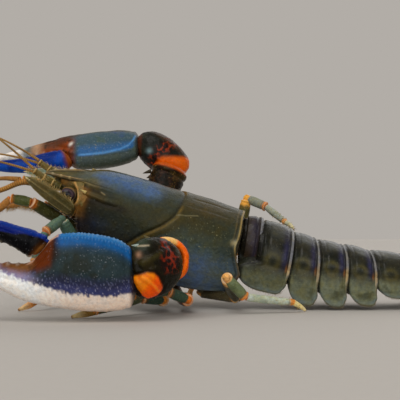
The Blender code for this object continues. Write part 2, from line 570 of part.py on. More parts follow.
def fan(material):
    roll = math.radians(4)
    up = Vector((0.35, -math.sin(roll), 1.0)).normalized()
    leaf("telson", (60.2, 0.0, 8.9), (73.6, 0.6, 4.6), (4.3, 4.8, 4.9, 4.6, 4.2, 3.2), (2.2, 1.4, 1.0, 0.8, 0.6, 0.4), up, material, n=10)
    for sign, word in ((-1, "left"), (1, "right")):
        lift = -0.5 * sign * -1
        z = 0.3 if sign == 1 else -0.2
        leaf("tail_fan_%s_inner" % word, (60.0, 6.6 * sign, 6.5 + z), (73.8, 10.2 * sign, 3.0 + z), (1.2, 2.8, 3.7, 4.0, 3.7, 2.4),
             (1.0, 0.8, 0.6, 0.5, 0.4, 0.3), up, material, n=8)
        leaf("tail_fan_%s_outer" % word, (59.8, 8.7 * sign, 4.4 + z), (72.0, 18.6 * sign, 1.6 + z), (1.3, 3.0, 4.2, 4.6, 4.2, 2.6),
             (1.0, 0.8, 0.6, 0.5, 0.4, 0.3), up, material, n=8)


def build():
    clear()
    shell = paint("shell", (0.075, 0.085, 0.075), 0.3)
    blue = paint("claw_blue", (0.02, 0.12, 0.42), 0.3)
    dark = paint("dark_joint", (0.05, 0.03, 0.02), 0.4)
    orange = paint("orange", (0.85, 0.28, 0.03), 0.4)
    green = paint("leg_green", (0.10, 0.16, 0.11), 0.4)
    olive = paint("olive", (0.20, 0.17, 0.07), 0.45)
    pale = paint("pale_scale", (0.55, 0.62, 0.55), 0.45)
    black = paint("eye_black", (0.02, 0.012, 0.016), 0.12)
    head_shield(shell)
    thorax_shield(shell)
    sternum(olive)
    mouth(olive)
    eyes(black, olive)
    feelers(olive, orange, pale)
    for word in ("left", "right"):
        arm(word, dark, orange)
    for c in CLAWS.values():
        claw(c, blue)
    for word, number in LEGS:
        leg(word, number, green, olive)
    for spec in RINGS:
        tail_ring(spec, shell)
    fan(shell)


build()
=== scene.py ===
"""Looks of the life-size cherax crayfish: a fine mesh over each CAD solid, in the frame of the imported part.

Shapes are worked out in millimetres in the body's own axes (as in the part's source) and written in metres.
"""

import math

import bpy
import numpy as np
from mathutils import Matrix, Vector


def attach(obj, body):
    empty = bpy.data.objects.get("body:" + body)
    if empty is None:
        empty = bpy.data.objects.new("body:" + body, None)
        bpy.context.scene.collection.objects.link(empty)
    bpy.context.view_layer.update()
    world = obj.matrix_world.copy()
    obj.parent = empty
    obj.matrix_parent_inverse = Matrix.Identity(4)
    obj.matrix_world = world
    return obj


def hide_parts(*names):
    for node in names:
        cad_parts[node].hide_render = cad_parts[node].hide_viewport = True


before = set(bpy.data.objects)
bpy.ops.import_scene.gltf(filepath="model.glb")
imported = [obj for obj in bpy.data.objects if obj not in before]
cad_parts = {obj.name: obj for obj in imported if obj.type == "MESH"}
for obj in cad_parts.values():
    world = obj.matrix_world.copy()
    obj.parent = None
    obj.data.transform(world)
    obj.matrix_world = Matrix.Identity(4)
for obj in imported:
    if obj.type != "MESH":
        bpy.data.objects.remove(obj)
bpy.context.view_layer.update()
MM = 0.001
ORIGIN = np.array((-12.4, 0.46, 0.0))
PI = math.pi


# ================================================================ numbers and curves
def vec(*p):
    return np.array(p, float)


def unit(v):
    v = np.asarray(v, float)
    return v / np.maximum(np.linalg.norm(v, axis=-1, keepdims=True), 1e-12)


def smooth(x, a, b):
    t = np.clip((np.asarray(x, float) - a) / (b - a), 0.0, 1.0)
    return t * t * (3 - 2 * t)


def hill(x, middle, half):
    return np.exp(-(((np.asarray(x, float) - middle) / half) ** 2))


def curve(x, xs, ys):
    """Monotone cubic through the table, so that a short table gives a smooth outline."""
    xs, ys = np.asarray(xs, float), np.asarray(ys, float)
    if ys.ndim == 2:
        return np.stack([curve(x, xs, ys[:, k]) for k in range(ys.shape[1])], -1)
    h = np.diff(xs)
    d = np.diff(ys) / h
    m = np.zeros(len(xs))
    if len(xs) > 2:
        same = d[:-1] * d[1:] > 0
        w1, w2 = 2 * h[1:] + h[:-1], h[1:] + 2 * h[:-1]
        with np.errstate(divide="ignore", invalid="ignore"):
            m[1:-1] = np.where(same, (w1 + w2) / (w1 / d[:-1] + w2 / d[1:]), 0.0)
    m[0], m[-1] = d[0], d[-1]
    x = np.clip(np.asarray(x, float), xs[0], xs[-1])
    i = np.clip(np.searchsorted(xs, x) - 1, 0, len(xs) - 2)
    t = (x - xs[i]) / h[i]
    return ((1 + 2 * t) * (1 - t) ** 2 * ys[i] + t * (1 - t) ** 2 * h[i] * m[i] + t * t * (3 - 2 * t) * ys[i + 1]
            + t * t * (t - 1) * h[i] * m[i + 1])


def _hash(ix, iy, iz, seed):
    h = (ix * 374761393 + iy * 668265263 + iz * 1440662683 + seed * 1274126177) & 0xFFFFFFFF
    h = ((h ^ (h >> 13)) * 1274126177) & 0xFFFFFFFF
    h = ((h ^ (h >> 16)) * 668265263) & 0xFFFFFFFF
    return ((h ^ (h >> 15)) & 0xFFFF) / 65535.0


def noise(p, size, seed=0):
    """Smooth noise from -1 to 1 with features of that size in millimetres."""
    q = np.asarray(p, float) / size
    i = np.floor(q).astype(np.int64)
    t = q - i
    t = t * t * (3 - 2 * t)
    out = 0.0
    for a in (0, 1):
        for b in (0, 1):
            for c in (0, 1):
                w = ((t[..., 0] if a else 1 - t[..., 0]) * (t[..., 1] if b else 1 - t[..., 1]) * (t[..., 2] if c else 1 - t[..., 2]))
                out = out + w * _hash(i[..., 0] + a, i[..., 1] + b, i[..., 2] + c, seed)
    return out * 2 - 1


def clouds(p, size, seed=0, octaves=4):
    return sum(noise(p, size / 2 ** k, seed + 7 * k) * 0.55 ** k for k in range(octaves))


def cells(p, size, seed=0):
    """Distance to the nearest point of a jittered lattice, in cells, and that point's random number."""
    q = np.asarray(p, float) / size
    i = np.floor(q).astype(np.int64)
    best = np.full(q.shape[:-1], 9.0)
    mark = np.zeros(q.shape[:-1])
    for a in (-1, 0, 1):
        for b in (-1, 0, 1):
            for c in (-1, 0, 1):
                x, y, z = i[..., 0] + a, i[..., 1] + b, i[..., 2] + c
                d = np.sqrt((x + _hash(x, y, z, seed) - q[..., 0]) ** 2 + (y + _hash(x, y, z, seed + 1) - q[..., 1]) ** 2
                            + (z + _hash(x, y, z, seed + 2) - q[..., 2]) ** 2)
                near = d < best
                best = np.where(near, d, best)
                mark = np.where(near, _hash(x, y, z, seed + 3), mark)
    return best, mark


def rgb(r, g, b):
    c = np.array((r, g, b), float) / 255.0
    return np.where(c <= 0.04045, c / 12.92, ((c + 0.055) / 1.055) ** 2.4)


def mix(a, b, m):
    m = np.clip(np.asarray(m, float), 0.0, 1.0)
    return a + (b - a) * m[..., None]


def ramp(x, stops):
    """Colour by x from a list of (x, colour)."""
    xs = [s[0] for s in stops]
    return np.stack([np.interp(x, xs, [s[1][k] for s in stops]) for k in range(3)], -1)


def away(x, y, points):
    """Distance of (x, y) from a line through points."""
    best = np.full(np.broadcast(x, y).shape, 1e9)
    for (ax, ay), (bx, by) in zip(points, points[1:]):
        dx, dy = bx - ax, by - ay
        t = np.clip(((x - ax) * dx + (y - ay) * dy) / (dx * dx + dy * dy), 0, 1)
        best = np.minimum(best, np.hypot(x - ax - t * dx, y - ay - t * dy))
    return best


def within(x, y, outline):
    """Signed distance to an outline: positive inside it."""
    closed = list(outline) + [outline[0]]
    d = away(x, y, closed)
    inside = np.zeros(d.shape, bool)
    for (ax, ay), (bx, by) in zip(closed, closed[1:]):
        if ay == by:
            continue
        cross = ((ay > y) != (by > y)) & (x < (bx - ax) * (y - ay) / (by - ay) + ax)
        inside ^= cross
    return np.where(inside, d, -d)


# ================================================================ meshes
def normals(p, wrap=False):
    du = np.gradient(p, axis=0)
    dv = (np.roll(p, -1, 1) - np.roll(p, 1, 1)) / 2 if wrap else np.gradient(p, axis=1)
    n = unit(np.cross(du, dv))
    return -n if (n * (p - p.mean(axis=1, keepdims=True))).sum() < 0 else n


class Build:
    """Collects grids of points, in millimetres, with their paint, and makes one object of them."""

    def __init__(self):
        self.co, self.quads, self.tris, self.paint, self.extra, self.uv, self.count = [], [], [], [], [], [], 0

    def grid(self, p, paint, fleck=0.0, mottle=1.0, gloss=0.5, wrap=False, cap=(False, False), keep=None, flip=None, uv=None):
        p = np.asarray(p, float)
        r, c = p.shape[:2]
        idx = np.arange(r * c).reshape(r, c)
        left, right = (idx, np.roll(idx, -1, axis=1)) if wrap else (idx[:, :-1], idx[:, 1:])
        quads = np.stack([left[:-1], right[:-1], right[1:], left[1:]], -1)
        quads = (quads[keep] if keep is not None else quads).reshape(-1, 4)
        co = [p.reshape(-1, 3)]
        colour = [np.broadcast_to(paint, (r, c, 3)).reshape(-1, 3)]
        extra = [np.stack([np.broadcast_to(np.asarray(v, float), (r, c)) for v in (fleck, mottle, gloss)], -1).reshape(-1, 3)]
        spot = [np.zeros((r * c, 2)) if uv is None else np.broadcast_to(uv, (r, c, 2)).reshape(-1, 2)]
        tris = []
        n = r * c
        for at_end, row in ((0, 0), (1, r - 1)):
            if cap[at_end]:
                ring = idx[row]
                nxt = np.roll(ring, -1)
                if not wrap:
                    ring, nxt = ring[:-1], nxt[:-1]
                mid = np.full(len(ring), n)
                tris.append(np.stack([mid, nxt, ring] if at_end == 0 else [mid, ring, nxt], -1))
                co.append(p[row].mean(axis=0)[None])
                for store in (colour, extra, spot):
                    store.append(store[0][idx[row]].mean(axis=0)[None])
                n += 1
        tris = np.concatenate(tris) if tris else np.zeros((0, 3), int)
        co = np.concatenate(co)
        if flip is None:
            m = co - co.mean(axis=0)
            vol = (m[quads[:, 0]] * np.cross(m[quads[:, 1]], m[quads[:, 2]])).sum() + (m[quads[:, 0]] * np.cross(m[quads[:, 2]], m[quads[:, 3]])).sum()
            vol += (m[tris[:, 0]] * np.cross(m[tris[:, 1]], m[tris[:, 2]])).sum() if len(tris) else 0.0
            flip = vol < 0
        if flip:
            quads, tris = quads[:, ::-1], tris[:, ::-1]
        self.quads.append(quads + self.count)
        self.tris.append(tris + self.count)
        self.co.append(co)
        self.paint.append(np.concatenate(colour))
        self.extra.append(np.concatenate(extra))
        self.uv.append(np.concatenate(spot))
        self.count += n

    def done(self, name, material, nodes=(), slot=None, coat=False):
        me = bpy.data.meshes.new(name)
        co = (np.concatenate(self.co) - ORIGIN) * MM
        quads, tris = np.concatenate(self.quads), np.concatenate(self.tris)
        loops = np.concatenate([quads.ravel(), tris.ravel()]).astype(np.int32)
        start = np.concatenate([np.arange(len(quads)) * 4, len(quads) * 4 + np.arange(len(tris)) * 3]).astype(np.int32)
        me.vertices.add(len(co))
        me.vertices.foreach_set("co", co.astype(np.float32).ravel())
        me.loops.add(len(loops))
        me.loops.foreach_set("vertex_index", loops)
        me.polygons.add(len(start))
        me.polygons.foreach_set("loop_start", start)
        me.update(calc_edges=True)
        me.polygons.foreach_set("use_smooth", np.ones(len(start), bool))
        att = me.attributes.new("tone", "FLOAT_VECTOR", "POINT")
        att.data.foreach_set("vector", np.clip(np.concatenate(self.paint), 0.0, 1.0).astype(np.float32).ravel())
        extra = np.concatenate(self.extra)
        for k, word in enumerate(("fleck", "mottle", "gloss")):
            me.attributes.new(word, "FLOAT", "POINT").data.foreach_set("value", extra[:, k].astype(np.float32))
        if coat:
            uv = np.concatenate(self.uv)[loops]
            me.uv_layers.new(name="OFBake").data.foreach_set("uv", uv.astype(np.float32).ravel())
        me.validate()
        me.materials.append(material)
        ob = bpy.data.objects.new(name, me)
        bpy.context.scene.collection.objects.link(ob)
        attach(ob, "root")
        if nodes:
            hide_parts(*nodes)
        return ob


def along(points, x):
    """Smooth line through points: place and direction at x from 0 to 1 of its length."""
    pts = np.asarray(points, float)
    run = np.concatenate([[0.0], np.cumsum(np.linalg.norm(np.diff(pts, axis=0), axis=1))])
    run /= run[-1]
    e = 1e-3
    return curve(x, run, pts), unit(curve(np.clip(x + e, 0, 1), run, pts) - curve(np.clip(x - e, 0, 1), run, pts)), run


def sweep(points, across, high, up, rows=60, cols=32, power=2.0, round0=0.0, round1=0.0, at=None):
    """Tube along a line. Half sizes are given at its points or at the places in at; rounded ends take that share of the length.
    Returns points, x along (rows, cols) and angle (rows, cols), angle 90 degrees at the up side."""
    x = 0.5 - 0.5 * np.cos(PI * np.linspace(0, 1, rows))
    x = 0.5 * x + 0.5 * np.linspace(0, 1, rows)
    if round0:
        x = np.unique(np.concatenate([x, round0 * (1 - np.cos(np.linspace(0, PI / 2, 7)))]))
    if round1:
        x = np.unique(np.concatenate([x, 1 - round1 * (1 - np.cos(np.linspace(0, PI / 2, 7)))]))
    place, direction, run = along(points, x)
    where = run if at is None else at
    wide, tall = curve(x, where, across), curve(x, where, high)
    shape = np.ones_like(x)
    if round0:
        shape *= np.sqrt(np.clip(1 - (1 - np.minimum(x / round0, 1)) ** 2, 1e-4, 1))
    if round1:
        shape *= np.sqrt(np.clip(1 - (1 - np.minimum((1 - x) / round1, 1)) ** 2, 1e-4, 1))
    side = unit(np.cross(direction, np.asarray(up, float)))
    top = unit(np.cross(side, direction))
    q = np.linspace(0, 2 * PI, cols, endpoint=False)
    e = 2.0 / power
    cy = np.sign(np.cos(q)) * np.abs(np.cos(q)) ** e
    cz = np.sign(np.sin(q)) * np.abs(np.sin(q)) ** e
    p = place[:, None] + side[:, None] * (wide * shape)[:, None, None] * cy[None, :, None] + top[:, None] * (tall * shape)[:, None, None] * cz[None, :, None]
    xx, qq = np.meshgrid(x, q, indexing="ij")
    return p, xx, qq


def cone(b, root, tip, radius, paint, bend=(0.0, 0.0, 0.0), gloss=0.6, rows=9, cols=10, mottle=0.6):
    """A small spine or tooth."""
    root, tip = np.asarray(root, float), np.asarray(tip, float)
    mid = (root + tip) / 2 + np.asarray(bend, float)
    d = unit(tip - root)
    up = vec(0, 0, 1) if abs(d[2]) < 0.9 else vec(1, 0, 0)
    p, x, _ = sweep([root, mid, tip], (radius, radius * 0.62, radius * 0.05), (radius, radius * 0.62, radius * 0.05), up, rows, cols, round1=0.06)
    b.grid(p, paint if np.ndim(paint) > 1 else np.broadcast_to(paint, x.shape + (3,)), gloss=gloss, mottle=mottle, wrap=True, cap=(True, True))


# ================================================================ materials
class Nodes:
    def __init__(self, name):
        self.mat = bpy.data.materials.new(name)
        self.mat.use_nodes = True
        self.tree = self.mat.node_tree
        self.p = self.tree.nodes["Principled BSDF"]
        self.coord = self.new("ShaderNodeTexCoord").outputs["Object"]

    def new(self, kind, **props):
        n = self.tree.nodes.new(kind)
        for k, v in props.items():
            setattr(n, k, v)
        return n

    def put(self, node, **values):
        for k, v in values.items():
            sock = node.inputs[int(k[1:])] if k[0] == "i" and k[1:].isdigit() else node.inputs[k.replace("_", " ")]
            if isinstance(v, bpy.types.NodeSocket):
                self.tree.links.new(v, sock)
            else:
                sock.default_value = v
        return node

    def attr(self, name, vector=False):
        return self.new("ShaderNodeAttribute", attribute_name=name).outputs["Vector" if vector else "Fac"]

    def noise(self, size_mm, detail=4.0, rough=0.55, warp=0.0):
        n = self.put(self.new("ShaderNodeTexNoise"), Vector=self.coord, Scale=1000.0 / size_mm, Detail=detail, Roughness=rough, Distortion=warp)
        return n.outputs["Fac"]

    def dots(self, size_mm, feature="F1"):
        n = self.put(self.new("ShaderNodeTexVoronoi", feature=feature), Vector=self.coord, Scale=1000.0 / size_mm)
        return n.outputs["Distance"]

    def map(self, x, a, b, lo, hi, smoothly=False):
        n = self.new("ShaderNodeMapRange", interpolation_type="SMOOTHSTEP" if smoothly else "LINEAR")
        return self.put(n, i0=x, i1=a, i2=b, i3=lo, i4=hi).outputs[0]

    def math(self, kind, a, b=0.0, clamp=False):
        return self.put(self.new("ShaderNodeMath", operation=kind, use_clamp=clamp), i0=a, i1=b).outputs[0]

    def scale(self, v, k):
        n = self.new("ShaderNodeVectorMath", operation="SCALE")
        return self.put(n, i0=v, Scale=k).outputs[0]

    def blend(self, a, b, k):
        n = self.new("ShaderNodeMix", data_type="RGBA", clamp_factor=True)
        self.put(n, i0=k)
        for sock, v in ((n.inputs[6], a), (n.inputs[7], b)):
            if isinstance(v, bpy.types.NodeSocket):
                self.tree.links.new(v, sock)
            else:
                sock.default_value = (*[float(c) for c in v], 1.0)
        return n.outputs[2]

    def link(self, out, name):
        self.tree.links.new(out, self.p.inputs[name])


def chitin(name, vary=0.3, spot=(0.5, 0.55, 0.45), spot_size=0.55, spot_low=0.0, patch=2.4, tint=(1.15, 1.0, 0.8), tint_by=0.35, rough=(0.3, 0.5),
           bump=((0.35, 0.05),), pits=0.0, pit_size=0.6, coat=0.05, sss=0.0, spec=0.18):
    """Crayfish shell: painted tone with patchy tint, pale flecks, uneven gloss and fine relief."""
    m = Nodes(name)
    tone = m.attr("tone", True)
    mottle, fleck, gloss = m.attr("mottle"), m.attr("fleck"), m.attr("gloss")
    fine = m.noise(patch * 0.35, 5.0, 0.6)
    wide = m.noise(patch, 4.0, 0.55, 0.4)
    light = m.map(fine, 0.32, 0.68, -vary, vary)
    light = m.math("MULTIPLY_ADD", light, mottle)
    m.tree.nodes[-1].inputs[2].default_value = 1.0
    colour = m.scale(tone, light)
    tinted = m.new("ShaderNodeVectorMath", operation="MULTIPLY")
    m.put(tinted, i0=colour, i1=tint)
    colour = m.blend(colour, tinted.outputs[0], m.math("MULTIPLY", m.map(wide, 0.4, 0.62, 0.0, tint_by * 2, True), mottle, True))
    grain = m.dots(spot_size)
    lit = m.map(grain, 0.14, 0.30, 1.0, 0.0, True)
    some = m.map(m.noise(spot_size * 2.3, 2.0), 0.44, 0.60, spot_low, 1.0, True)
    colour = m.blend(colour, spot, m.math("MULTIPLY", m.math("MULTIPLY", lit, some), fleck, True))
    m.link(colour, "Base Color")
    uneven = m.map(m.noise(patch * 0.5, 3.0), 0.3, 0.7, rough[0], rough[1])
    m.link(m.math("SUBTRACT", uneven, m.map(gloss, 0.0, 1.0, -0.16, 0.2), True), "Roughness")
    height = None
    for size, strength in bump:
        h = m.math("MULTIPLY", m.noise(size, 5.0, 0.6), strength)
        height = h if height is None else m.math("ADD", height, h)
    if pits:
        h = m.math("MULTIPLY", m.map(m.dots(pit_size), 0.05, 0.3, 0.0, 1.0, True), pits)
        height = m.math("ADD", height, h)
    b = m.new("ShaderNodeBump")
    m.put(b, Strength=1.0, Distance=0.001, Height=height)
    m.link(b.outputs[0], "Normal")
    m.p.inputs["Coat Weight"].default_value = coat
    m.p.inputs["Coat Roughness"].default_value = 0.18
    m.p.inputs["Specular IOR Level"].default_value = spec
    if sss:
        m.p.inputs["Subsurface Weight"].default_value = sss
        m.p.inputs["Subsurface Radius"].default_value = (1.0, 0.45, 0.25)
        m.p.inputs["Subsurface Scale"].default_value = 0.0006
    return m.mat


SHELL = chitin("shell_skin", vary=0.2, spot=rgb(132, 132, 100), spot_size=0.62, patch=2.6, tint=(1.25, 1.02, 0.62), tint_by=0.35, rough=(0.32, 0.48),
               bump=((0.5, 0.045), (0.16, 0.015)), pits=0.03, pit_size=0.55, coat=0.0, spec=0.12)
TAIL = chitin("tail_skin", vary=0.22, spot=rgb(120, 122, 96), spot_size=0.6, patch=2.2, tint=(1.2, 1.05, 0.7), tint_by=0.35, rough=(0.26, 0.44),
              bump=((0.5, 0.04), (0.16, 0.015)), pits=0.025, pit_size=0.5, coat=0.02, spec=0.14)
CLAW = chitin("claw_skin", vary=0.16, spot=rgb(190, 196, 205), spot_size=0.62, patch=2.0, tint=(0.8, 0.96, 1.15), tint_by=0.25, rough=(0.28, 0.42),
              bump=((0.45, 0.045), (0.15, 0.015)), pits=0.05, pit_size=0.72, coat=0.0, spec=0.07)
JOINT = chitin("joint_skin", vary=0.18, spot=rgb(250, 190, 90), spot_size=0.5, patch=1.6, tint=(0.98, 0.84, 0.7), tint_by=0.3, rough=(0.24, 0.4),
               bump=((0.5, 0.08), (0.14, 0.015)), pits=0.02, pit_size=0.5, coat=0.03, sss=0.08, spec=0.1)
LEG = chitin("leg_skin", vary=0.2, spot=rgb(190, 190, 150), spot_size=0.4, patch=1.3, tint=(1.15, 1.05, 0.75), tint_by=0.3, rough=(0.32, 0.48),
             bump=((0.35, 0.045), (0.12, 0.012)), pits=0.02, pit_size=0.4, coat=0.0, sss=0.08, spec=0.12)
FEELER = chitin("feeler_skin", vary=0.26, spot=rgb(210, 190, 130), spot_size=0.35, patch=1.0, tint=(1.12, 0.95, 0.65), tint_by=0.35, rough=(0.4, 0.56),
                bump=((0.25, 0.045), (0.1, 0.012)), coat=0.02, sss=0.1, spec=0.16)
FLESH = chitin("under_skin", vary=0.24, spot=rgb(150, 150, 130), spot_size=0.5, patch=1.8, tint=(1.1, 0.95, 0.8), tint_by=0.4, rough=(0.42, 0.6),
               bump=((0.6, 0.1), (0.2, 0.025)), coat=0.02, sss=0.12, spec=0.16)
HAIR = chitin("setae", vary=0.3, spot=rgb(220, 200, 150), spot_size=0.3, patch=0.8, tint=(1.1, 0.95, 0.7), tint_by=0.3, rough=(0.5, 0.65),
              bump=((0.12, 0.02),), coat=0.0, sss=0.12, spec=0.15)
EYE = chitin("eye_glaze", vary=0.12, spot=rgb(70, 60, 80), spot_size=0.14, patch=0.7, tint=(1.1, 0.9, 1.1), tint_by=0.3, rough=(0.16, 0.26),
             bump=((0.12, 0.006),), pits=0.005, pit_size=0.12, coat=0.15, spec=0.15)

# ================================================================ the body's axes and carapace sizes
PITCH, ROLL = math.radians(16.0), math.radians(33.0)
START = vec(-43.8, 0.0, 32.5)
T = vec(math.cos(PITCH), 0.0, -math.sin(PITCH))
_UP0 = vec(math.sin(PITCH), 0.0, math.cos(PITCH))
_LEFT0 = vec(0.0, -1.0, 0.0)
UP = _UP0 * math.cos(ROLL) + _LEFT0 * math.sin(ROLL)
LEFT = _LEFT0 * math.cos(ROLL) - _UP0 * math.sin(ROLL)
STATION = (10.0, 12.0, 16.0, 22.0, 28.0, 34.0, 40.0, 46.0, 52.0, 57.0)
HALF_WIDTH = (8.2, 8.9, 9.8, 10.7, 11.4, 12.2, 12.8, 13.0, 12.5, 11.6)
BACK_HEIGHT = (10.3, 11.0, 11.8, 12.0, 11.7, 11.1, 10.9, 10.9, 10.6, 10.3)
SKIRT_DEPTH = (6.6, 7.4, 8.7, 10.2, 11.1, 11.6, 11.5, 11.0, 10.1, 9.2)
ROOF_DEPTH = (3.0, 3.4, 4.6, 6.4, 7.6, 8.0, 8.0, 8.0, 7.6, 6.6)


def body(s, a, d):
    s, a, d = np.broadcast_arrays(np.asarray(s, float), np.asarray(a, float), np.asarray(d, float))
    return START + s[..., None] * T + a[..., None] * LEFT + d[..., None] * UP


def bpoint(s, a, d):
    return START + s * T + a * LEFT + d * UP


def barrel(s, f, grow=1.0):
    """Point of the shield at s, at angle f from the dorsal line (left positive)."""
    w, up, low = curve(s, STATION, HALF_WIDTH) * grow, curve(s, STATION, BACK_HEIGHT) * grow, curve(s, STATION, SKIRT_DEPTH) * grow
    q = np.abs(f)
    high = q <= PI / 2
    g = np.clip((q - PI / 2) / (math.radians(128.0) - PI / 2), 0, 1)
    a = np.where(high, w * np.sign(f) * np.abs(np.sin(f)) ** 0.92, np.sign(f) * w * (1 - 0.24 * g ** 2.2))
    d = np.where(high, up * np.clip(np.cos(f), 0, 1) ** 0.90, -low * np.sin(g * PI / 2) * (0.25 + 0.75 * g))
    return body(s, a, d)


def groove_s(deg):
    return curve(deg, (0, 12, 30, 50, 75, 95, 128), (38.0, 37.9, 37.3, 34.9, 30.0, 26.6, 23.0))


def front_s(deg):
    return curve(deg, (0, 23, 34, 50, 66, 85, 128), (10.5, 10.5, 10.6, 10.6, 10.3, 10.4, 12.5))


def rear_s(deg):
    return curve(deg, (0, 35, 50, 70, 85, 95, 105, 115, 128), (55.5, 55.8, 55.5, 56.6, 58.0, 58.8, 58.5, 57.8, 57.2))


def lips(p, p0, n0, radius, tuck, sides):
    """Rolls the rims of an open sheet inward. p0 and n0 are the plain form under p, which give the rim's directions.
    sides: which of first row, last row, first column, last column."""
    turns = np.radians((30, 60, 90, 120, 150, 180))
    pads = [0, 0, 0, 0]
    for k in range(4):
        if not sides[k]:
            continue
        axis, i0, i1 = (0, 0, 4) if k == 0 else (0, -1, -5) if k == 1 else (1, 0, 4) if k == 2 else (1, -1, -5)
        take = (lambda z, i, ax=axis: z[i] if ax == 0 else z[:, i])
        edge, out, nn = take(p, i0), unit(take(p0, i0) - take(p0, i1)), take(n0, i0)
        extra = [edge + out * radius * math.sin(u) - nn * radius * (1 - math.cos(u)) for u in turns]
        extra += [edge - nn * (radius * 2.3 + 0.25) - out * tuck * 0.5, edge - nn * (radius * 2.3 + 0.6) - out * tuck]
        more = [np.stack([v] * len(extra), axis) for v in (take(p0, i0), nn)]
        for m in range(len(extra)):
            if axis == 0:
                more[0][m] = take(p0, i0) + (extra[m] - edge)
            else:
                more[0][:, m] = take(p0, i0) + (extra[m] - edge)
        block_ = np.stack(extra, axis)
        if i0 == 0:
            p, p0, n0 = (np.concatenate([np.flip(b, axis), a], axis) for a, b in ((p, block_), (p0, more[0]), (n0, more[1])))
        else:
            p, p0, n0 = (np.concatenate([a, b], axis) for a, b in ((p, block_), (p0, more[0]), (n0, more[1])))
        pads[k] = len(extra)
    return p, pads


def padded(x, pads):
    width = [(pads[0], pads[1]), (pads[2], pads[3])] + [(0, 0)] * (x.ndim - 2)
    return np.pad(x, width, mode="edge")


# ================================================================ carapace
OLIVE, DARK_OLIVE = rgb(58, 58, 34), rgb(38, 38, 24)
CARINA_S = (-1.9, 2.0, 6.0, 9.0, 13.7, 18.0, 24.0, 60.0)
CARINA_A = (0.45, 1.85, 2.9, 3.35, 4.9, 5.5, 5.9, 6.0)
POSTORBITAL = [(11.3, 44.0), (14.0, 46.5), (17.0, 48.5), (20.5, 47.0)]


def line_mm(s, deg, points, mm_per_deg=0.2):
    return away(s, deg * mm_per_deg, [(x, y * mm_per_deg) for x, y in points])


def carapace_relief(s, f, p):
    """Height over the plain barrel, in mm."""
    deg = np.degrees(np.abs(f))
    a = np.abs((p - START) @ LEFT)
    g = (s - groove_s(deg)) * np.where(deg < 30, 1.0, 0.76)
    h = -0.34 * hill(g, 0, 0.42) + 0.16 * hill(g, 1.2, 0.9) + 0.07 * hill(g, -1.3, 0.9)
    carina = a - curve(s, CARINA_S, CARINA_A)
    h += 0.42 * hill(carina, 0, 0.42) * smooth(s, 26, 15) * (deg < 60)
    h -= 0.22 * hill(carina, -0.9, 0.5) * smooth(s, 24, 13) * (deg < 60)
    d = line_mm(s, deg, POSTORBITAL)
    h += 0.34 * hill(d, 0, 0.5) * smooth(s, 21, 13) - 0.15 * hill(d, 1.1, 0.5)
    rim = np.minimum(rear_s(deg) - s, 4.0)
    h += 0.09 * hill(rim, 0.2, 0.3) - 0.09 * hill(rim, 1.0, 0.4)
    front = s - front_s(deg)
    h += 0.16 * hill(front, 0.4, 0.45) * (deg > 24) - 0.12 * hill(front, 1.3, 0.5) * (deg > 24)
    low = (128 - deg) * 0.2
    h += 0.15 * hill(low, 0.4, 0.5) - 0.2 * hill(low, 1.5, 0.6)
    # two long shallow grooves behind the neck groove bound the narrow middle field
    h -= 0.12 * hill(a, 2.1, 0.5) * smooth(g, 1.5, 4.0) * smooth(s, 55, 50)
    # granules on the cheeks and over the gills, and the uneven form of real shell
    d1, k1 = cells(p, 1.25, 3)
    cheek = smooth(deg, 55, 75) * smooth(g, 1.0, -2.0)
    gill = smooth(deg, 45, 70) * smooth(g, 1.0, 3.0)
    h += (0.16 * cheek + 0.07 * gill + 0.02) * smooth(d1, 0.45, 0.12) * (k1 > 0.25)
    d2, k2 = cells(p, 0.75, 11)
    h += (0.05 * gill + 0.03) * smooth(d2, 0.42, 0.1)
    h += 0.10 * clouds(p, 7.0, 5, 3) + 0.03 * noise(p, 1.2, 8)
    h += 0.16 * hill(deg, 100, 16) * hill(s, 16, 3.5)
    h -= 0.3 * hill(deg, 74, 9) * hill(s, 17.5, 4.5)
    return h


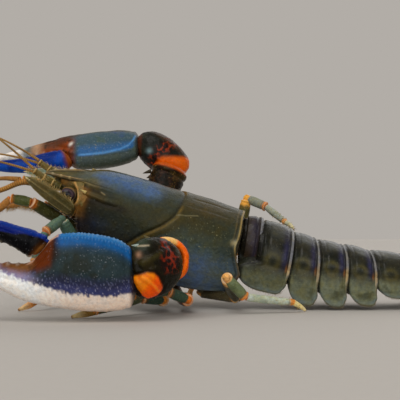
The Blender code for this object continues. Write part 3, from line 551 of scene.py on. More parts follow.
def carapace_paint(s, f, p):
    deg = np.degrees(np.abs(f))
    g = (s - groove_s(deg)) * np.where(deg < 30, 1.0, 0.76)
    # top of the head (0 to 24 degrees): blue, partly the shell's own colour and partly a painted sheen of the light on
    # the glossy shell
    mid = ramp(deg, [(0, rgb(64, 88, 122)), (14, rgb(66, 90, 124)), (24, rgb(60, 76, 92)), (33, rgb(52, 60, 52)), (45, rgb(50, 50, 28)), (56, rgb(44, 44, 30)),
                     (70, rgb(42, 48, 46)), (84, rgb(40, 48, 62)), (100, rgb(28, 29, 40)), (128, rgb(22, 20, 28))])
    fore = ramp(deg, [(0, rgb(74, 84, 84)), (14, rgb(78, 82, 66)), (24, rgb(84, 78, 44)), (36, rgb(74, 66, 36)), (46, rgb(70, 56, 24)), (56, rgb(48, 38, 18)),
                      (70, rgb(46, 38, 20)), (84, rgb(34, 29, 28)), (100, rgb(27, 24, 32)), (128, rgb(22, 18, 24))])
    back = ramp(deg, [(0, rgb(52, 60, 56)), (20, rgb(52, 56, 44)), (40, rgb(50, 50, 28)), (60, rgb(47, 50, 34)), (80, rgb(42, 48, 46)), (100, rgb(34, 38, 44)), (128, rgb(26, 28, 32))])
    head = mix(mid, fore, smooth(s, 18.5, 11.5))
    head = mix(head, back, smooth(g, -11.0, -3.0))
    # low on the flanks the shield is painted pale blue: partly the shell's own colour, partly painted light thrown up
    # from the pale floor below
    thorax = ramp(deg, [(0, rgb(68, 62, 42)), (14, rgb(60, 56, 37)), (28, rgb(50, 50, 30)), (45, rgb(50, 54, 38)), (58, rgb(56, 64, 50)), (70, rgb(68, 84, 88)),
                        (84, rgb(90, 110, 132)), (100, rgb(102, 126, 158)), (116, rgb(106, 130, 160)), (128, rgb(94, 110, 130))])
    rear = ramp(deg, [(0, rgb(60, 58, 40)), (40, rgb(46, 52, 38)), (65, rgb(48, 58, 52)), (90, rgb(86, 106, 122)), (128, rgb(100, 120, 138))])
    thorax = mix(thorax, rear, smooth(s, 47, 54))
    start = ramp(deg, [(0, rgb(62, 58, 36)), (40, rgb(50, 48, 24)), (70, rgb(48, 48, 28)), (95, rgb(50, 56, 54)), (128, rgb(44, 48, 52))])
    thorax = mix(thorax, start, smooth(g, 5.5, 0.8))
    c = mix(head, thorax, smooth(g, -0.3, 0.3))
    patchy = clouds(p, 5.0, 21, 4)
    c = mix(c, c * vec(1.35, 1.12, 0.62), 0.45 * smooth(patchy, 0.1, 0.8) * smooth(deg, 18, 34))
    c = mix(c, c * vec(0.8, 0.98, 1.35), 0.45 * smooth(-patchy, 0.1, 0.8))
    # painted sheen: a brighter blue streak along the back of the head, the light reflected on the glossy shell
    d = away(s, f * 11.0, [(13.5, 0.0), (21.0, 0.4), (30.0, 1.2)])
    c = mix(c, rgb(78, 106, 150), 0.55 * smooth(d, 3.0, 0.6) * smooth(g, -3, -7))
    # dark band under the postorbital ridge and beside the rostrum's rims
    d = line_mm(s, deg, [(10.5, 53), (14, 54), (19, 53), (24, 52)])
    c = mix(c, rgb(26, 22, 12), 0.75 * smooth(d, 1.4, 0.4) * smooth(s, 25.5, 22))
    a = np.abs((p - START) @ LEFT)
    rim = a - curve(s, CARINA_S, CARINA_A)
    strength = smooth(s, 22, 12) * (deg < 60)
    c = mix(c, rgb(30, 24, 12), 0.85 * hill(rim, 0.85, 0.38) * strength)
    c = mix(c, rgb(38, 33, 20), 0.6 * hill(rim, -0.75, 0.32) * strength)
    c = mix(c, rgb(128, 112, 78), 0.8 * hill(rim, 0.05, 0.3) * smooth(s, 17, 9))
    ridge = line_mm(s, deg, POSTORBITAL)
    c = mix(c, rgb(84, 76, 46), 0.45 * smooth(ridge, 0.75, 0.2) * smooth(s, 19.5, 13))
    c = mix(c, rgb(190, 170, 110), 0.85 * hill(np.hypot(s - 11.4, (deg - 44) * 0.2), 0, 0.55))
    c = mix(c, rgb(150, 140, 110), 0.6 * hill(line_mm(s, deg, [(15.8, 37), (16.8, 39)]), 0, 0.22))
    # orange-brown skin round the eye and a pale-orange orbit rim
    orbit = s - front_s(deg)
    around = smooth(deg, 30, 38) * smooth(deg, 92, 78)
    c = mix(c, rgb(112, 78, 34), 0.75 * smooth(orbit, 3.2, 0.4) * around)
    c = mix(c, rgb(128, 92, 44), 0.6 * smooth(orbit, 0.5, 0.1) * around)
    c = mix(c, rgb(40, 36, 40), 0.5 * smooth(orbit, 1.4, 0.3) * smooth(deg, 88, 100))
    # neck groove: dark line with an olive-tan rim behind it
    c = mix(c, rgb(30, 29, 16), 0.6 * hill(g, -0.15, 0.36))
    c = mix(c, rgb(96, 82, 36), 0.8 * hill(g, 0.55, 0.42) * smooth(deg, 8, 20) * smooth(deg, 112, 98))
    c = mix(c, rgb(70, 62, 28), 0.5 * hill(g, 1.6, 0.8) * smooth(deg, 22, 34))
    c = mix(c, rgb(128, 122, 92), 0.6 * hill(line_mm(s, deg, [(37.7, 30.0), (40.0, 26.5), (43.3, 21.0)]), 0, 0.16))
    # pale specks over the gills
    d1, k1 = cells(p, 0.9, 31)
    c = mix(c, rgb(150, 150, 118), 0.75 * smooth(d1, 0.2, 0.08) * (k1 > 0.86) * smooth(g, 0.5, 2.5) * smooth(deg, 14, 30))
    c = mix(c, rgb(110, 120, 120), 0.5 * smooth(d1, 0.22, 0.08) * (k1 < 0.1) * smooth(deg, 14, 60))
    # hind rim: tan and orange double line, pale patch, brownish lower rim
    rim = rear_s(deg) - s
    edge = mix(np.broadcast_to(rgb(166, 148, 100), p.shape), rgb(98, 80, 50), smooth(deg, 52, 66))
    c = mix(c, rgb(34, 32, 20), 0.55 * hill(rim, 0.95, 0.35))
    c = mix(c, edge, 0.6 * smooth(rim, 0.45, 0.2))
    c = mix(c, edge * 0.8, 0.2 * hill(rim, 1.3, 0.2) * smooth(deg, 60, 40))
    c = mix(c, rgb(184, 180, 152), 0.55 * hill(np.hypot(rim - 0.5, (deg - 46) * 0.2), 0, 0.95))
    low = (128 - deg) * 0.2
    c = mix(c, rgb(92, 84, 62), 0.65 * smooth(low, 0.8, 0.2))
    c = mix(c, rgb(120, 92, 62), 0.5 * smooth(rim, 0.9, 0.3) * smooth(deg, 84, 100))
    c = mix(c, rgb(20, 16, 20), 0.6 * smooth(s, 20, 12) * smooth(deg, 96, 112))
    return c


def carapace():
    rows, cols = 230, 362
    f = np.radians(np.linspace(128, -128, cols))
    t = np.linspace(0, 1, rows)
    tt, ff = np.meshgrid(t, f, indexing="ij")
    deg = np.degrees(np.abs(ff))
    ss = front_s(deg) + (rear_s(deg) - front_s(deg)) * tt
    p = plain = barrel(ss, ff)
    n = plain_n = normals(p)
    p = p + n * carapace_relief(ss, ff, p)[..., None]
    b = Build()
    paint = carapace_paint(ss, ff, p)
    gloss = 0.5 + 0.25 * smooth(deg, 40, 10)
    full, pads = lips(p, plain, plain_n, 0.24, 1.4, (True, True, True, True))
    keep = np.ones((full.shape[0] - 1, full.shape[1] - 1), bool)
    dd = padded(deg, pads)
    keep[:pads[0]][(dd[0, :-1] < 23.2)[None].repeat(pads[0], 0)] = False
    fleck = 0.35 * smooth(ss - groove_s(deg), 0, 3) * smooth(deg, 12, 40)
    b.grid(full, padded(paint, pads), fleck=padded(fleck, pads), mottle=1.0, gloss=padded(gloss, pads), keep=keep)
    # rostrum: a trough between raised rims, joined to the first row of the shield
    mid = np.nonzero(np.degrees(np.abs(f)) < 23.2)[0]
    x = -np.degrees(f[mid]) / -23.2
    r = np.concatenate([np.linspace(0, 0.97, 110), [1.0]])
    rr, xx = np.meshgrid(r, x, indexing="ij")
    s = 10.5 - (1 - rr) * 12.4
    half = 0.28 + 3.25 * rr ** 0.74
    top = 7.25 + 2.95 * rr ** 0.9
    a = half * np.sin(xx * PI / 2)
    rim_h = 0.34 * hill(np.abs(a) - half * 0.86, 0, 0.34) * smooth(rr, 0.02, 0.15)
    teeth = sum(0.42 * hill(s, place, 0.36) for place in (0.4, 3.0, 5.6)) * hill(np.abs(a) - half * 0.95, 0, 0.3)
    ros = body(s, a * (1 + 0.25 * teeth / np.maximum(half, 0.5)), top - 0.5 * rr * (1 - xx ** 2) + rim_h + teeth * 0.7)
    k = smooth(rr, 0.72, 1.0)[..., None]
    ros = ros * (1 - k) + (ros + (p[0, mid] - ros[-1])) * k
    under_x = np.linspace(x[-1], x[0], 24)[1:-1]
    ru, xu = np.meshgrid(r, under_x, indexing="ij")
    su = 10.5 - (1 - ru) * 12.4
    low = body(su, (0.28 + 3.25 * ru ** 0.74) * 0.92 * np.sin(xu * PI / 2), 7.25 + 2.95 * ru ** 0.9 - (0.7 + 1.6 * ru) * (1 - 0.55 * xu ** 2))
    ring = np.concatenate([ros, low], 1)
    edge = np.abs(np.concatenate([a, np.zeros_like(su)], 1)) - np.concatenate([half, np.full_like(su, 9)], 1) * 0.86
    sring = np.concatenate([s, su], 1)
    sh = p[0, mid]
    c = mix(np.broadcast_to(rgb(88, 80, 44), ring.shape), rgb(70, 72, 56), smooth(sring, 2, 9))
    c = mix(c, rgb(150, 128, 96), 0.85 * hill(edge, 0.05, 0.3))
    c = mix(c, rgb(36, 28, 16), 0.85 * hill(edge, 0.55, 0.2) + 0.55 * hill(edge, -0.55, 0.3))
    c = mix(c, rgb(196, 180, 140), 0.8 * np.concatenate([np.minimum(teeth * 3, 1), np.zeros_like(su)], 1))
    c = mix(c, rgb(52, 44, 26), 0.8 * (np.concatenate([np.zeros_like(s), np.ones_like(su)], 1)))
    c[:, :len(mid)] = mix(c[:, :len(mid)], paint[0, mid][None] + 0 * c[:, :len(mid)], smooth(rr, 0.7, 1.0))
    b.grid(ring, c, fleck=0.1, gloss=0.5, wrap=True, cap=(True, False))
    # postorbital spines, and a small row of spines below the front rim
    for sign in (1, -1):
        foot = barrel(vec(11.6), vec(sign * math.radians(44)))[0]
        cone(b, foot + UP * 0.15, foot - T * 1.7 + UP * 0.75 + LEFT * sign * 0.1, 0.55, rgb(186, 168, 112))
        for deg0, size in ((88, 0.5), (98, 0.42), (106, 0.34)):
            q = sign * math.radians(deg0)
            foot = barrel(vec(float(front_s(deg0)) + 0.5), vec(q))[0]
            out = unit(foot - bpoint(11, 0, 0))
            cone(b, foot - out * 0.1, foot - T * 1.0 + out * 0.35, size, rgb(70, 60, 46))
    b.done("carapace", SHELL, ("carapace_head", "carapace_thorax"), "shell")
    # what shows inside the open front and underneath
    b = Build()
    s = np.linspace(11.3, 56.5, 60)
    q = np.linspace(0, 2 * PI, 72, endpoint=False)
    sg, qg = np.meshgrid(s, q, indexing="ij")
    w, up = curve(sg, STATION, HALF_WIDTH) * 0.9 - 0.5, curve(sg, STATION, BACK_HEIGHT) * 0.9 - 0.4
    low = curve(sg, STATION, ROOF_DEPTH)
    e = np.abs(np.sin(qg))
    pp = body(sg, w * np.cos(qg) * np.where(np.sin(qg) < 0, np.minimum(1, 0.82 + 0.0 * e), 1.0), np.where(np.sin(qg) > 0, up * np.sin(qg) ** 0.9 if False else up * e ** 0.9, -low * e ** 0.5))
    pp += normals(pp, True) * (0.14 * clouds(pp, 2.5, 44, 3))[..., None]
    c = mix(np.broadcast_to(rgb(54, 50, 36), pp.shape), rgb(104, 96, 78), smooth(-np.sin(qg), 0.0, 0.4) * (0.5 + 0.5 * clouds(pp, 3, 45, 3)))
    b.grid(pp, c, gloss=0.3, wrap=True, cap=(True, True))
    b.done("body_inner", FLESH)


EYE_AT, EYE_HALF = (6.7, 5.9, 5.75), (2.3, 1.9, 1.85)


def head_front():
    """The wall of the head behind the eyes, with the orbits and the brow under the rostrum."""
    b = Build()
    table = (3.0, 4.5, 6.0, 7.2, 8.4, 9.3, 10.2, 11.5, 12.6)
    t = np.linspace(3.0, 12.6, 118)
    q = np.linspace(0, 2 * PI, 126, endpoint=False)
    sg, qg = np.meshgrid(t, q, indexing="ij")
    half = curve(sg, table, (0.9, 1.7, 2.9, 4.1, 5.9, 7.2, 7.8, 8.0, 8.0))
    top = curve(sg, table, (7.2, 7.7, 8.3, 8.9, 9.4, 9.6, 9.7, 9.7, 9.7))
    low = curve(sg, table, (5.2, 4.2, 2.8, 1.0, -0.8, -2.0, -2.8, -3.2, -3.2))
    e = 2.0 / 2.4
    a = half * np.sign(np.cos(qg)) * np.abs(np.cos(qg)) ** e
    d = (top + low) / 2 + (top - low) / 2 * np.sign(np.sin(qg)) * np.abs(np.sin(qg)) ** e
    p = body(sg, a, d)
    s0, a0, d0 = EYE_AT
    r = np.hypot((sg - s0 - 0.2) / 1.12, (d - d0) / 0.95)
    away3 = np.sqrt((sg - s0) ** 2 + (np.abs(a) - a0) ** 2 + (d - d0) ** 2)
    n = normals(p, True)
    h = 0.10 * clouds(p, 1.6, 301, 3) - 0.7 * smooth(away3, 3.6, 2.2) + 0.28 * hill(r, 2.75, 0.35) * smooth(np.abs(a), 2.5, 4.5) * smooth(sg, 5.0, 7.0)
    g, k = cells(p, 0.7, 302)
    h += 0.08 * smooth(g, 0.4, 0.1)
    p = p + n * h[..., None]
    c = mix(np.broadcast_to(rgb(112, 98, 54), p.shape), rgb(138, 104, 54), smooth(clouds(p, 2.0, 303, 3), -0.1, 0.7))
    c = mix(c, rgb(112, 76, 34), smooth(d, 5.5, 2.5) * smooth(sg, 7.0, 9.0))
    c = mix(c, rgb(74, 64, 36), 0.6 * smooth(r, 2.5, 1.8))
    c = mix(c, rgb(206, 160, 96), 0.9 * hill(r, 2.75, 0.32) * smooth(sg, 5.2, 6.4))
    c = mix(c, rgb(176, 120, 58), 0.6 * hill(np.hypot(sg - 9.4, d - 3.2), 0, 0.9))
    b.grid(p, c, fleck=0.3, gloss=0.4, wrap=True, cap=(True, True))
    b.done("head_front", FEELER)


# ================================================================ eyes
def eyes():
    look_left = unit(vec(-0.12, -1.0, 0.04))
    for sign, word in ((1, "left"), (-1, "right")):
        s, a, d = EYE_AT
        mid = bpoint(s, a * sign, d)
        u, v = np.meshgrid(np.radians(np.concatenate([np.linspace(0.5, 110, 90), np.linspace(113, 150, 14)])), np.linspace(0, 2 * PI, 110, endpoint=False), indexing="ij")
        out = LEFT * sign
        ripple = 1 + 0.02 * np.sin(3 * v + 0.6) * np.sin(u) + 0.012 * np.sin(2 * v)
        ray = np.cos(u)[..., None] * out + (np.sin(u) * np.cos(v))[..., None] * T + (np.sin(u) * np.sin(v))[..., None] * UP
        p = mid + (np.cos(u) * EYE_HALF[1] * ripple)[..., None] * out + (np.sin(u) * np.cos(v) * EYE_HALF[0] * ripple)[..., None] * T + (np.sin(u) * np.sin(v) * EYE_HALF[2] * ripple)[..., None] * UP
        look = look_left if sign == 1 else look_left - 2 * (look_left @ LEFT) * LEFT
        deg = np.degrees(np.arccos(np.clip(ray @ look, -1, 1)))
        r = deg + 3.0 * noise(p, 0.8, 3)
        c = ramp(r, [(0, rgb(3, 2, 4)), (24, rgb(5, 3, 6)), (33, rgb(34, 22, 32)), (44, rgb(68, 54, 62)), (54, rgb(52, 40, 46)), (62, rgb(32, 24, 28)), (68, rgb(70, 58, 50)),
                     (75, rgb(116, 104, 84)), (86, rgb(128, 112, 78)), (98, rgb(96, 82, 44)), (150, rgb(78, 68, 34))])
        spokes = 0.5 + 0.5 * np.sin(v * 46 + 3 * noise(p, 0.6, 5))
        c = mix(c, c * 1.6, 0.4 * spokes * hill(deg, 46, 14))
        b = Build()
        b.grid(p, c, fleck=0.25 * hill(deg, 50, 18), mottle=0.6, gloss=1.0, wrap=True, cap=(True, True))
        b.done("eye_" + word, EYE, ("eye_" + word,), "eye_black")
        # stalk, with a raised cup round the eye
        b = Build()
        p, x, q = sweep([bpoint(s + 0.5, sign * 0.6, d - 1.0), bpoint(s + 0.4, sign * 2.4, d - 0.6), bpoint(s + 0.1, sign * 4.0, d - 0.1), bpoint(s + 0.05, sign * 5.2, d)],
                        (1.3, 1.35, 1.8, 2.2), (1.2, 1.25, 1.5, 1.75), UP, 48, 56)
        n = normals(p, True)
        p = p + n * (0.12 * hill(x, 0.62, 0.05) - 0.12 * hill(x, 0.5, 0.06) + 0.14 * hill(x, 0.97, 0.05) + 0.05 * clouds(p, 1.4, 6, 3))[..., None]
        c = mix(np.broadcast_to(rgb(74, 68, 34), p.shape), rgb(122, 92, 50), smooth(x, 0.7, 0.98))
        c = mix(c, rgb(40, 34, 20), 0.8 * hill(x, 0.5, 0.06))
        b.grid(p, c, fleck=0.3, gloss=0.4, wrap=True, cap=(True, True))
        b.done("eyestalk_" + word, FEELER, ("eyestalk_" + word,), "olive")


# ================================================================ claws
CLAW_X = (0.0, 0.5, 1.5, 3.8, 8.5, 13.5, 18.5, 20.3, 22.4, 24.7, 27.0, 32.5, 38.0, 43.5, 47.5, 50.0)
CLAW_OUTER = (-5.2, -6.4, -7.1, -7.7, -8.0, -7.7, -7.1, -6.8, -6.4, -5.9, -5.1, -2.6, -0.5, 0.9, 1.9, 3.0)
CLAW_INNER = (4.2, 6.0, 7.6, 9.2, 10.5, 11.0, 10.7, 9.7, 6.9, 4.2, 3.6, 3.6, 3.5, 3.6, 3.7, 3.6)
CLAW_THICK = (2.2, 3.3, 4.0, 4.6, 5.2, 5.4, 5.1, 4.9, 4.5, 4.0, 3.5, 2.9, 2.3, 1.6, 0.9, 0.3)
FINGER_X = (0.0, 0.6, 3.0, 6.0, 10.5, 16.0, 21.0, 25.5, 28.4)
FINGER_BOW = (0.0, 0.1, 0.8, 1.4, 2.3, 2.8, 2.4, 1.3, 0.0)
FINGER_WIDE = (2.6, 3.3, 3.1, 2.7, 2.25, 1.85, 1.5, 1.0, 0.35)
FINGER_THICK = (1.9, 2.7, 2.9, 2.6, 2.2, 1.8, 1.4, 0.9, 0.35)


class Claw:
    def __init__(self, word, wrist, along_, inner, opening):
        self.word, self.wrist, self.opening = word, vec(*wrist), opening
        self.x = unit(vec(*along_))
        self.y = unit(vec(*inner) - self.x * (vec(*inner) @ self.x))
        self.z = np.cross(self.x, self.y)
        if self.z[1] > 0 and self.z[2] < 0.5:
            self.z = -self.z

    def place(self, x, y, z):
        x, y, z = np.broadcast_arrays(np.asarray(x, float), np.asarray(y, float), np.asarray(z, float))
        return self.wrist + x[..., None] * self.x + y[..., None] * self.y + z[..., None] * self.z


CLAWS = {
    "left": Claw("left", (-15.6, -38.5, 10.4), (-1.0, -0.03, 0.0), (0.0, 0.0, 1.0), math.radians(10.5)),
    "right": Claw("right", (-19.6, 28.5, 50.1), (-1.0, 0.0, -0.075), (0.0, -0.857, -0.515), math.radians(-3.0)),
}


def palm_paint_left(x, y, z, hi, lo, p):
    """Near claw: blue upper band, teal middle, violet lower band breaking into cream."""
    d, k = cells(np.stack([x * 1.0, y * 0.5, z * 1.0], -1), 0.5, 61)
    c = np.broadcast_to(rgb(40, 54, 56), p.shape)
    c = mix(c, rgb(38, 44, 38), smooth(clouds(p, 4.5, 62, 3), 0.0, 0.7))
    c = mix(c, rgb(34, 66, 92), smooth(y - (hi - 5.2), 0.0, 2.4) * 0.7)
    edge = hi - y
    blue = smooth(edge, 3.6, 1.9) * smooth(x, -0.5, 1.5) * smooth(x, 20.5, 18.8)
    c = mix(c, rgb(20, 86, 146), blue)
    c = mix(c, rgb(46, 128, 190), 0.6 * smooth(edge, 1.4, 0.3) * smooth(x, 1.0, 3.0) * smooth(x, 19.5, 17.5))
    line = curve(x, (0, 1.9, 3.8, 6.2, 8.7, 12.3, 17.2, 19.6, 22.0, 24.4, 26.9, 29.3, 33.0, 36.0, 50.0),
                 (-3.4, -3.6, -4.06, -4.3, -4.2, -3.7, -3.1, -2.4, -1.6, -0.9, -0.2, 0.8, 2.2, 3.6, 6.0))
    low = y - line
    violet = smooth(low, 5.4, 2.6) * smooth(x, 24, 16)
    c = mix(c, rgb(44, 44, 70), violet * 0.85)
    c = mix(c, rgb(64, 66, 112), 0.8 * smooth(low, 3.0, 0.9) * smooth(x, 26, 17))
    # towards the fixed finger the band turns lavender, then white
    c = mix(c, rgb(150, 138, 170), smooth(x, 21, 28) * smooth(low, 3.4, 1.2))
    socket = within(x, y, [(18.7, 9.8), (20.3, 10.2), (22.4, 7.4), (24.8, 4.8), (27.0, 4.2), (33.0, 4.2), (32.0, 2.4), (27.5, 1.6), (23.0, 1.9), (19.6, 3.2), (18.2, 6.0)])
    hinge = smooth(socket, -1.3, 1.1) * (z > -0.5)
    tan = mix(np.broadcast_to(rgb(96, 40, 8), p.shape), rgb(118, 72, 32), smooth(x, 23.0, 25.5))
    tan = mix(tan, rgb(40, 22, 10), smooth(x, 20.4, 19.0))
    tan = mix(tan, rgb(60, 26, 6), 0.7 * smooth(clouds(p, 1.8, 64, 3), 0.1, 0.8))
    c = mix(c, tan, hinge)
    c = mix(c, rgb(206, 156, 126), 0.9 * smooth(edge, 0.75, 0.45) * smooth(x, 18.2, 18.8) * smooth(x, 26.4, 25.2) * (z > -0.5))
    speck = smooth(d, 0.30, 0.12) * (k > 0.3)
    c = mix(c, rgb(112, 122, 132), 0.35 * speck * (k > 0.7) * smooth(low, 5.0, 8.0) * (1 - blue) * (1 - hinge))
    c = mix(c, rgb(206, 198, 208), 0.75 * speck * smooth(low, 3.4, 0.6) * (1 - hinge))
    c = mix(c, rgb(120, 124, 160), 0.45 * smooth(d, 0.4, 0.16) * smooth(low, 5.0, 3.0) * (1 - hinge) * (1 - blue))
    cream = mix(np.broadcast_to(rgb(255, 232, 212), p.shape), rgb(255, 250, 242), smooth(x, 12, 26))
    cream = mix(cream, rgb(222, 190, 166), 0.35 * smooth(y - lo, 1.4, 0.2))
    streak = 0.55 * noise(np.stack([x * 2.4, y * 0.7, z], -1), 1.0, 66) + 0.35 * noise(p, 0.45, 67)
    c = mix(c, cream, smooth(low + streak, 0.55, -0.35))
    c = mix(c, cream, smooth(x, 36, 43) * 0.95)
    c = mix(c, rgb(30, 24, 14), 0.85 * smooth(x, 1.5, 0.2))
    return c


def palm_paint_right(x, y, z, hi, lo, p):
    """Far claw: olive-grey outer margin, teal and blue palm, light blue ridge along the inner margin, orange-brown finger root."""
    d, k = cells(p, 0.6, 71)
    c = np.broadcast_to(rgb(62, 84, 92), p.shape)
    c = mix(c, rgb(54, 78, 112), smooth(clouds(p, 5, 72, 3), -0.1, 0.6))
    c = mix(c, rgb(72, 88, 74), smooth(clouds(p, 3.2, 73, 3), 0.15, 0.7) * 0.7)
    c = mix(c, rgb(52, 54, 42), smooth(y, 0.6, -2.6))
    c = mix(c, rgb(84, 90, 72), smooth(y - lo, 2.2, 0.5) * 0.8)
    edge = hi - y
    crest = away(x, edge, [(1.0, 6.0), (1.6, 4.2), (3.0, 2.7), (5.5, 1.9), (10.0, 1.5), (19.0, 1.3)])
    within_crest = smooth(edge, 1.2, 1.9) * smooth(x, 0.9, 2.2)
    c = mix(c, rgb(40, 92, 146), 0.85 * smooth(edge, 5.4, 2.2) * within_crest * smooth(x, 20, 18))
    c = mix(c, rgb(84, 142, 200), 0.85 * hill(crest, 0, 0.34) * smooth(x, 19.5, 18))
    c = mix(c, rgb(78, 86, 74), 0.85 * smooth(edge, 1.2, 0.7) * smooth(x, 19.5, 18))
    c = mix(c, rgb(80, 90, 76), smooth(z, 0.4, -0.8) * smooth(edge, 3.0, 0.4))
    c = mix(c, rgb(86, 92, 76), smooth(z, -0.4, -2.0))
    c = mix(c, rgb(178, 170, 130), 0.75 * smooth(d, 0.28, 0.1) * (k > 0.55) * hill(np.hypot((x - 13) / 3.6, (y - 6.5) / 3.2), 0, 1.0))
    c = mix(c, rgb(150, 160, 160), 0.5 * smooth(d, 0.26, 0.1) * (k < 0.35) * smooth(y, -1, 3))
    brown = smooth(x, 19.0, 22.5) * smooth(x, 36.0, 31.0)
    c = mix(c, rgb(92, 44, 10), brown * 0.92)
    c = mix(c, rgb(150, 66, 14), brown * smooth(y, 1.2, 3.4) * 0.7)
    c = mix(c, rgb(58, 34, 18), brown * smooth(clouds(p, 1.6, 75, 3), 0.2, 0.8))
    c = mix(c, rgb(40, 34, 26), smooth(x, 27, 20) * smooth(x, 17, 21) * smooth(y, 2.0, -1.5) * 0.8)
    white = smooth(x + 1.2 * noise(p, 1.2, 76), 34.0, 40.0)
    c = mix(c, rgb(240, 232, 224), white)
    c = mix(c, rgb(206, 160, 120), 0.7 * hill(x, 33.0, 1.8) * (1 - 0.5 * white))
    c = mix(c, rgb(230, 226, 214), 0.9 * hill(np.hypot(x - 21.4, y - 4.2), 0, 0.7))
    c = mix(c, rgb(60, 44, 24), 0.8 * smooth(x, 1.4, 0.2))
    return c


